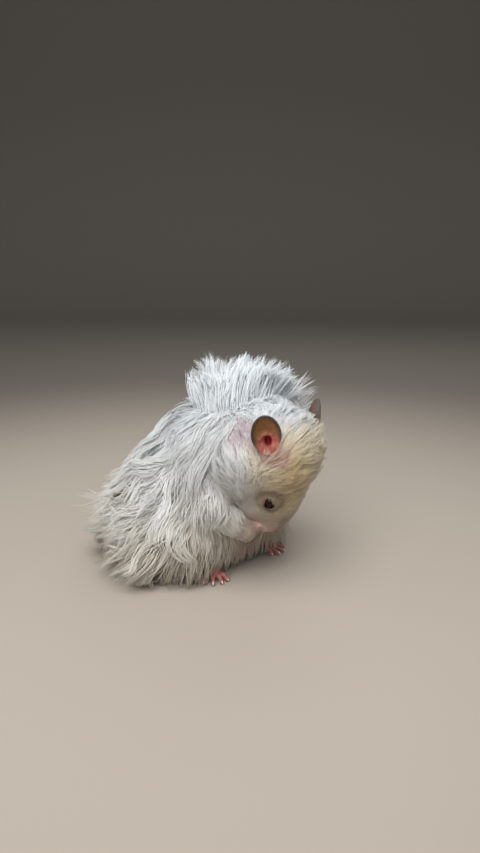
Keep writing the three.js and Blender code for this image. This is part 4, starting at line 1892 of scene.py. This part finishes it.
    def mesh(
        self,
        path: Array,
        root: Array,
        shade: Array,
        lie: Lie,
        markings: Markings,
        material: bpy.types.Material,
    ) -> bpy.types.Object:
        """Three-sided tapering tubes, flattened against the body, shaded partly as the body under them.

        Args:
            path: hair, station, place.
            root: where each hair grows.
            shade: each hair's brightness.
            lie: directions and heights.
            markings: the shared colours.
            material: the finished material.
        Returns:
            The object.
        """
        n, stations = path.shape[:2]
        t = np.linspace(0, 1, stations)
        ahead = unit(np.gradient(path, axis=1))
        flat = path.reshape(-1, 3)
        up = gradient(lie.surface(self.growth), flat, 0.6).reshape(path.shape)
        up = unit(up + vec(*self.light_from) * self.glow)
        side = np.cross(ahead, up)
        thin = np.linalg.norm(side, axis=-1, keepdims=True) < 0.15
        side = unit(np.where(thin, np.cross(ahead, vec(0.3, 0.2, 0.9)), side))
        over = np.cross(side, ahead)
        body = (0.7 + 0.3 * np.sin(math.pi * t)) * np.sqrt(1 - 0.93 * t)
        width = (self.width * (0.8 + 0.4 * ((np.arange(n) * 0.618) % 1)))[:, None, None] * body[None, :, None]
        corners = np.stack(
            [
                path + side * width * 0.5 - over * width * 0.12,
                path - side * width * 0.5 - over * width * 0.12,
                path + over * width * 0.34,
            ],
            2,
        )[:, :-1]
        points = np.concatenate([corners.reshape(n, -1, 3), path[:, -1:]], 1)
        facing = np.stack([up * 0.75 + side * 0.45, up * 0.75 - side * 0.45, up * 0.8 + over * 0.35], 2)
        facing = np.concatenate([facing[:, :-1].reshape(n, -1, 3), up[:, -1:]], 1)
        colour = mix(markings.fur(root), linear(*markings.white), self.bleach) * shade[:, None]
        tone = np.append(np.repeat(t[:-1], 3), 1.0)
        # Painted shade: each hair is darker at its root, where the coat shades it, and a little lighter at
        # its tip.
        tint = colour[:, None] * (0.92 + 0.1 * tone[None, :, None] ** 0.7)
        corner = np.append(np.tile([0.5, -0.5, 0.0], stations - 1), 0.0)
        bake = self.unwrap(root)[:, None] + self.bake_size * np.stack([corner, tone - 0.5], -1)[None]
        faces = tube_faces(n, stations - 1, 3)
        piece = build_mesh(
            self.name,
            points.reshape(-1, 3),
            faces,
            tint.reshape(-1, 3),
            unit(facing).reshape(-1, 3),
            bake.reshape(-1, 2),
        )
        piece.data.materials.append(material)
        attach(piece, "root")
        return piece

    def unwrap(self, root: Array) -> Array:
        """Longitude and latitude of the roots round the middle of the form that they grow on.

        Args:
            root: where hairs grow.
        Returns:
            Two numbers from 0 to 1 a hair.
        """
        d = unit(root - vec(*self.pole))
        u = np.arctan2(d[:, 0], d[:, 1]) / (2 * math.pi) + 0.5
        v = np.arcsin(np.clip(d[:, 2], -1, 1)) / math.pi + 0.5
        return 0.01 + 0.98 * np.stack([u, v], -1)


@dataclass
class Wardrobe:
    """All the coat's pieces. Its first methods give the density of roots from their place and zone."""

    skin: SkinPiece
    lie: Lie
    markings: Markings
    finish: CoatFinish
    shoulders: Triple = (1.5, -17, 45)
    front_end: float = -16.0
    skirt_top: float = 24.0

    def ear_clear(self, p: Array) -> Array:
        """One, or nought inside the ears and close round them.

        Args:
            p: points.
        Returns:
            One share a point.
        """
        keep = np.ones(len(p))
        for ear in self.lie.flesh.ears.values():
            keep *= step(0.0, 1.0, ear.room(p, 0.0, 1.5)) * step(0.8, 2.0, ear.canal(p))
        return keep

    def eye_clear(self, p: Array) -> Array:
        """One, or nought on the eyes and their lids.

        Args:
            p: points.
        Returns:
            One share a point.
        """
        head = self.lie.flesh.head
        keep = np.ones(len(p))
        for side in Side:
            keep *= step(1.7, 2.0, np.linalg.norm(p - head.eye_place(side, 2.8), axis=-1))
        return keep

    def crest_share(self, p: Array) -> Array:
        """One at the top of the shoulders, fading to nought forty degrees round from there."""
        d = unit(p - vec(*self.shoulders))
        return 1 - step(0.25, 0.7, np.arccos(np.clip(d[:, 2], -1, 1)))

    def body(self, p: Array, z: Array) -> Array:
        """The trunk, thinner under the crest and bare at the floor."""
        cover = on(z, Zone.TRUNK) * (1 - 0.3 * self.crest_share(p))
        return cover * step(1.2, 2.4, p[:, 2]) * self.ear_clear(p)

    def half(self, side: Side, low: bool) -> Density:
        """One side of the trunk behind its front: the skirt where low is true, and else the flank.

        Args:
            side: which side.
            low: whether it is the skirt.
        Returns:
            A function that gives the density.
        """

        def density(p: Array, z: Array) -> Array:
            """The body's density there, and nought elsewhere."""
            cover = self.body(p, z) * (p[:, 1] > self.front_end) * (p[:, 0] * side.value > 0)
            return cover * ((p[:, 2] <= self.skirt_top) == low)

        return density

    def front(self, p: Array, z: Array) -> Array:
        """The chest and the front of the shoulders."""
        return self.body(p, z) * (p[:, 1] <= self.front_end)

    def crest(self, p: Array, z: Array) -> Array:
        """The top of the shoulders."""
        return on(z, Zone.TRUNK) * self.crest_share(p) * self.ear_clear(p)

    def nape(self, p: Array, z: Array) -> Array:
        """The back of the neck, on its left and over the middle."""
        cover = on(z, Zone.TRUNK, Zone.HEAD) * self.ear_clear(p) * step(48, 55, p[:, 2])
        return cover * (p[:, 1] > -31) * (p[:, 1] < -8) * step(-3, 7, p[:, 0])

    def ruff(self, p: Array, z: Array) -> Array:
        """A band round the throat, below the cheeks.

        Args:
            p: points.
            z: their zones.
        Returns:
            One density a point.
        """
        _, y, up = self.lie.flesh.head.local(p).T
        cover = on(z, Zone.TRUNK, Zone.HEAD) * self.ear_clear(p)
        return cover * (np.abs(up + 13) < 3.5) * (np.abs(y + 12) < 5)

    def brow(self, p: Array, z: Array) -> Array:
        """The forehead between the ears, more on its left."""
        x, y, up = self.lie.flesh.head.local(p).T
        return on(z, Zone.HEAD) * self.ear_clear(p) * (up > 3) * (np.abs(y + 6) < 8) * (np.abs(x - 4) < 6)

    def wisps(self, p: Array, z: Array) -> Array:
        """The trunk behind the arms, thin above the skirt."""
        cover = on(z, Zone.TRUNK) * self.ear_clear(p) * (p[:, 1] > -8) * step(7, 14, p[:, 2])
        return cover * (0.15 + (p[:, 2] < 36))

    def face(self, p: Array, z: Array, ahead: bool) -> Array:
        """The head, denser towards its nose: its front where ahead is true, and else its crown.

        Args:
            p: points.
            z: their zones.
            ahead: whether it is the front.
        Returns:
            One density a point.
        """
        along = self.lie.flesh.head.local(p)[:, 1]
        cover = on(z, Zone.HEAD) * self.ear_clear(p) * self.eye_clear(p)
        return cover * (1 + 1.0 * step(8, 22, along)) * ((along > 6) == ahead)

    def limbs(self, p: Array, z: Array) -> Array:
        """Forearms and tail, and thinly the backs of paws and feet."""
        hand = on(z, Zone.PAW, Zone.FOOT) * 0.35 * (p[:, 2] > 2.2)
        return (on(z, Zone.FOREARM) + hand + on(z, Zone.TAIL) * 0.8) * self.eye_clear(p)

    def pieces(self) -> list[Coat]:
        """The coat's pieces, each with its density, count, lengths and width of hair.

        Returns:
            The pieces, not yet built.
        """
        over, head, right, left = Growth.OVER_TRUNK, Growth.OVER_HEAD, Side.RIGHT, Side.LEFT
        long = dict(
            width=0.34, stations=7, lock=4.6, clump=0.95, tress=1.9, wave=1.1, wander=0.42, stray=0.45
        )
        flank = dict(growth=over, count=4300, length=(16, 27), splay=0.7, flick=0.9, **long)
        skirt = dict(
            growth=over, count=4300, length=(20, 30), splay=1.1, flick=1.0, fall=0.2, glow=0.4, **long
        )
        cream = dict(slot="coat_cream", pole=self.lie.flesh.head.centre)
        return [
            Coat("coat_flank_right", where=self.half(right, False), seed=21, **flank),
            Coat("coat_flank_left", where=self.half(left, False), seed=22, **flank),
            Coat("coat_skirt_right", where=self.half(right, True), seed=23, **skirt),
            Coat("coat_skirt_left", where=self.half(left, True), seed=24, **skirt),
            Coat(
                "coat_front", over, self.front, 4200, (7, 12), 0.27, stations=6, lock=2.6, clump=0.5,
                high=1.9, wave=0.5, wander=0.3, seed=25,
            ),
            Coat(
                "coat_crest", Growth.STANDING, self.crest, 3500, (14, 25), 0.24, stations=9, lift=0.8,
                lock=2.5, clump=0.85, wave=0.6, wander=0.55, fall=0.35, stray=1.05, follow=0.15, glow=0.4,
                lean=(0.1, -0.2, 0.6), throw=(0.42, -0.38, -0.05), seed=26,
            ),
            Coat(
                "coat_nape", Growth.STANDING, self.nape, 2200, (13, 24), 0.19, stations=8, lift=0.5,
                lock=2.3, clump=0.85, wave=0.6, wander=0.5, fall=0.3, stray=1.1, glow=0.8,
                lean=(0.42, -0.34, 0.75), seed=30,
            ),
            Coat(
                "coat_ruff", Growth.OVER_NECK, self.ruff, 1300, (15, 26), 0.26, stations=8, lift=0.6,
                lock=2.6, clump=0.75, wave=0.5, wander=0.3, fall=0.2, stray=0.3, bleach=0.9, seed=32,
            ),
            Coat(
                "coat_brow", head, self.brow, 1500, (6, 10), 0.2, stations=6, lift=0.6, lock=1.9,
                clump=0.75, high=1.6, wave=0.5, wander=0.4, stray=0.4, seed=33, **cream,
            ),
            Coat(
                "coat_wisps", over, self.wisps, 1900, (16, 27), 0.22, stations=9, lock=3.2, clump=0.92,
                high=1.2, wave=0.9, wander=0.5, fall=0.1, splay=1.5, flick=1.7, stray=0.7, seed=31,
            ),
            Coat(
                "coat_face", head, partial(self.face, ahead=True), 9000, (4.2, 7.5), 0.2, stations=4,
                lift=0.4, lock=2.0, clump=0.25, tress=0.8, wave=0.1, wander=0.12, fall=0.0, seed=27, **cream,
            ),
            Coat(
                "coat_crown", head, partial(self.face, ahead=False), 7200, (5.5, 9.0), 0.22, stations=5,
                lift=0.45, lock=2.1, clump=0.35, tress=1.0, wave=0.25, wander=0.22, fall=0.1, stray=0.15,
                seed=28, **cream,
            ),
            Coat(
                "coat_limbs", Growth.OVER_LIMBS, self.limbs, 4200, (4.0, 7.0), 0.22, stations=4, lift=0.3,
                lock=2.0, clump=0.3, tress=0.9, wave=0.1, wander=0.15, fall=0.0, seed=29, slot="coat_cream",
            ),
        ]

    def dress(self) -> None:
        """Builds every piece and says how many triangles it has."""
        material = self.finish.material()
        for coat in self.pieces():
            piece = coat.build(self.skin, self.lie, self.markings, material)
            piece.data.calc_loop_triangles()
            log.info("%s: %d tufts, %d triangles", coat.name, coat.count, len(piece.data.loop_triangles))


# ------------------------------------------------------------------ the stage


@dataclass(frozen=True)
class Lamp:
    """A soft square lamp: its place and size in metres, its power in watts, and its colour."""

    name: str
    at: Triple
    size: float
    power: float
    colour: Triple


@dataclass(frozen=True)
class Studio:
    """A pale floor, a plain backdrop, soft lamps and the camera."""

    floor: Colour = (172, 162, 150)
    # Painted shade: the floor and backdrop colour far from the animal, as the light falls off.
    far_floor_shade: Colour = (112, 105, 96)
    camera_at: Triple = (-0.17835, -0.19268, 0.1227)
    camera_way: Triple = (0.7017, 0.6659, -0.2538)
    camera_right: Triple = (0.6884, -0.7254, 0.0)
    lens: float = 28.23
    near_edge: float = -2.0
    bend_at: float = 1.0
    bend: float = 0.5
    backdrop_top: float = 3.0
    half_width: float = 3.0
    room: tuple[float, float, float, float] = (0.93, 0.96, 1.0, 1)
    room_light: float = 0.36
    lit: Triple = (0, -0.01, 0.04)
    lamps: tuple[Lamp, ...] = (
        Lamp("lamp_top", (-0.22, -0.17, 0.65), 0.5, 4.2, (1.0, 0.99, 0.97)),
        Lamp("lamp_front", (-0.58, -0.27, 0.42), 0.5, 2.0, (0.97, 0.98, 1.0)),
        Lamp("lamp_far", (0.45, 0.25, 0.5), 0.4, 0.8, (0.98, 0.99, 1.0)),
    )

    def surface(self, name: str) -> bpy.types.Material:
        """A matt surface with a painted falloff of light: it darkens gently with distance from the animal.

        Args:
            name: the material's name.
        Returns:
            The material.
        """
        made = NodeMaterial(name)
        away = made.add("ShaderNodeVectorMath", operation="LENGTH")
        made.link(made.add("ShaderNodeTexCoord"), "Object", away, 0)
        ramp = made.ramped(away, "Value", {0.1: self.floor, 0.42: self.far_floor_shade})
        ramp.color_ramp.interpolation = "EASE"
        return made.settle(Roughness=0.8)

    def ground(self) -> None:
        """A floor that curves up into a backdrop far behind, as a profile carried sideways."""
        a = np.linspace(0, math.pi / 2, 13)
        arc_y, arc_z = self.bend_at + self.bend * np.sin(a), self.bend - self.bend * np.cos(a)
        y = np.concatenate([[self.near_edge], arc_y, [self.bend_at + self.bend]])
        z = np.concatenate([[0.0], arc_z, [self.backdrop_top]])
        x = vec(-self.half_width, self.half_width)
        way, right = unit(vec(*self.camera_way) * vec(1, 1, 0)), vec(*self.camera_right)
        grid = (x[None, :, None] * right + y[:, None, None] * way) + z[:, None, None] * vec(0, 0, 1)
        n = len(y)
        k = np.arange(n - 1)
        quads = np.stack([2 * k, 2 * k + 1, 2 * k + 3, 2 * k + 2], -1)
        ground = build_mesh("ground", grid.reshape(-1, 3) / MM, quads)
        ground.data.materials.append(self.surface("floor_pale"))

    def light(self, lamp: Lamp) -> None:
        """Hangs up a lamp that points at the animal.

        Args:
            lamp: which.
        """
        data = bpy.data.lights.new(lamp.name, "AREA")
        data.size, data.energy, data.color = lamp.size, lamp.power, lamp.colour
        thing = bpy.data.objects.new(lamp.name, data)
        place = vec(*lamp.at)
        self.aim(thing, place, unit(vec(*self.lit) - place))
        bpy.context.scene.collection.objects.link(thing)

    def aim(self, thing: bpy.types.Object, at: Array, forward: Array) -> None:
        """Puts a lamp or camera somewhere, looking along a direction with +Z up in its view.

        Args:
            thing: the lamp or camera.
            at: its place in metres.
            forward: unit vector.
        """
        right = unit(np.cross(forward, vec(0, 0, 1)))
        up = np.cross(right, forward)
        matrix = np.eye(4)
        matrix[:3, 0], matrix[:3, 1], matrix[:3, 2], matrix[:3, 3] = right, up, -forward, at
        thing.matrix_world = Matrix(matrix.tolist())

    def build(self) -> None:
        """Sets the view, the world, the lamps, the floor and the camera."""
        scene = bpy.context.scene
        scene.view_settings.view_transform = "Standard"
        world = bpy.data.worlds.new("soft_room")
        scene.world = world
        world.use_nodes = True
        back = world.node_tree.nodes["Background"]
        back.inputs["Color"].default_value = self.room
        back.inputs["Strength"].default_value = self.room_light
        self.ground()
        for lamp in self.lamps:
            self.light(lamp)
        camera = bpy.data.cameras.new("camera")
        camera.lens, camera.sensor_width, camera.sensor_fit = self.lens, 36.0, "AUTO"
        camera.clip_start, camera.clip_end = 0.01, 20.0
        thing = bpy.data.objects.new("camera", camera)
        self.aim(thing, vec(*self.camera_at), unit(vec(*self.camera_way)))
        scene.collection.objects.link(thing)
        scene.camera = thing


# ------------------------------------------------------------------ the hamster


@dataclass
class Hamster:
    """The dressed animal."""

    flesh: Flesh = field(default_factory=Flesh)

    def build(self) -> None:
        """Skin, eyes, claws and whiskers, and then the coat."""
        markings = Markings(self.flesh.head)
        skin = SkinPiece(self.flesh, markings)
        skin.shape()
        piece = skin.dress(SkinFinish())
        log.info("%s: %d quads", piece.name, len(skin.quads))
        for side in Side:
            eye = Eyeball(self.flesh.head, side).build(EyeFinish())
            log.info("%s: %d faces", eye.name, len(eye.data.polygons))
        horn = HornFinish()
        for piece in (Claws(self.flesh.limbs).build(horn), Whiskers(self.flesh.head).build(horn)):
            log.info("%s: %d faces", piece.name, len(piece.data.polygons))
        Wardrobe(skin, Lie(self.flesh), markings, CoatFinish()).dress()


def main() -> None:
    """Builds the animal and its studio."""
    Hamster().build()
    Studio().build()
    bpy.context.view_layer.update()


if __name__ == "__main__":
    main()
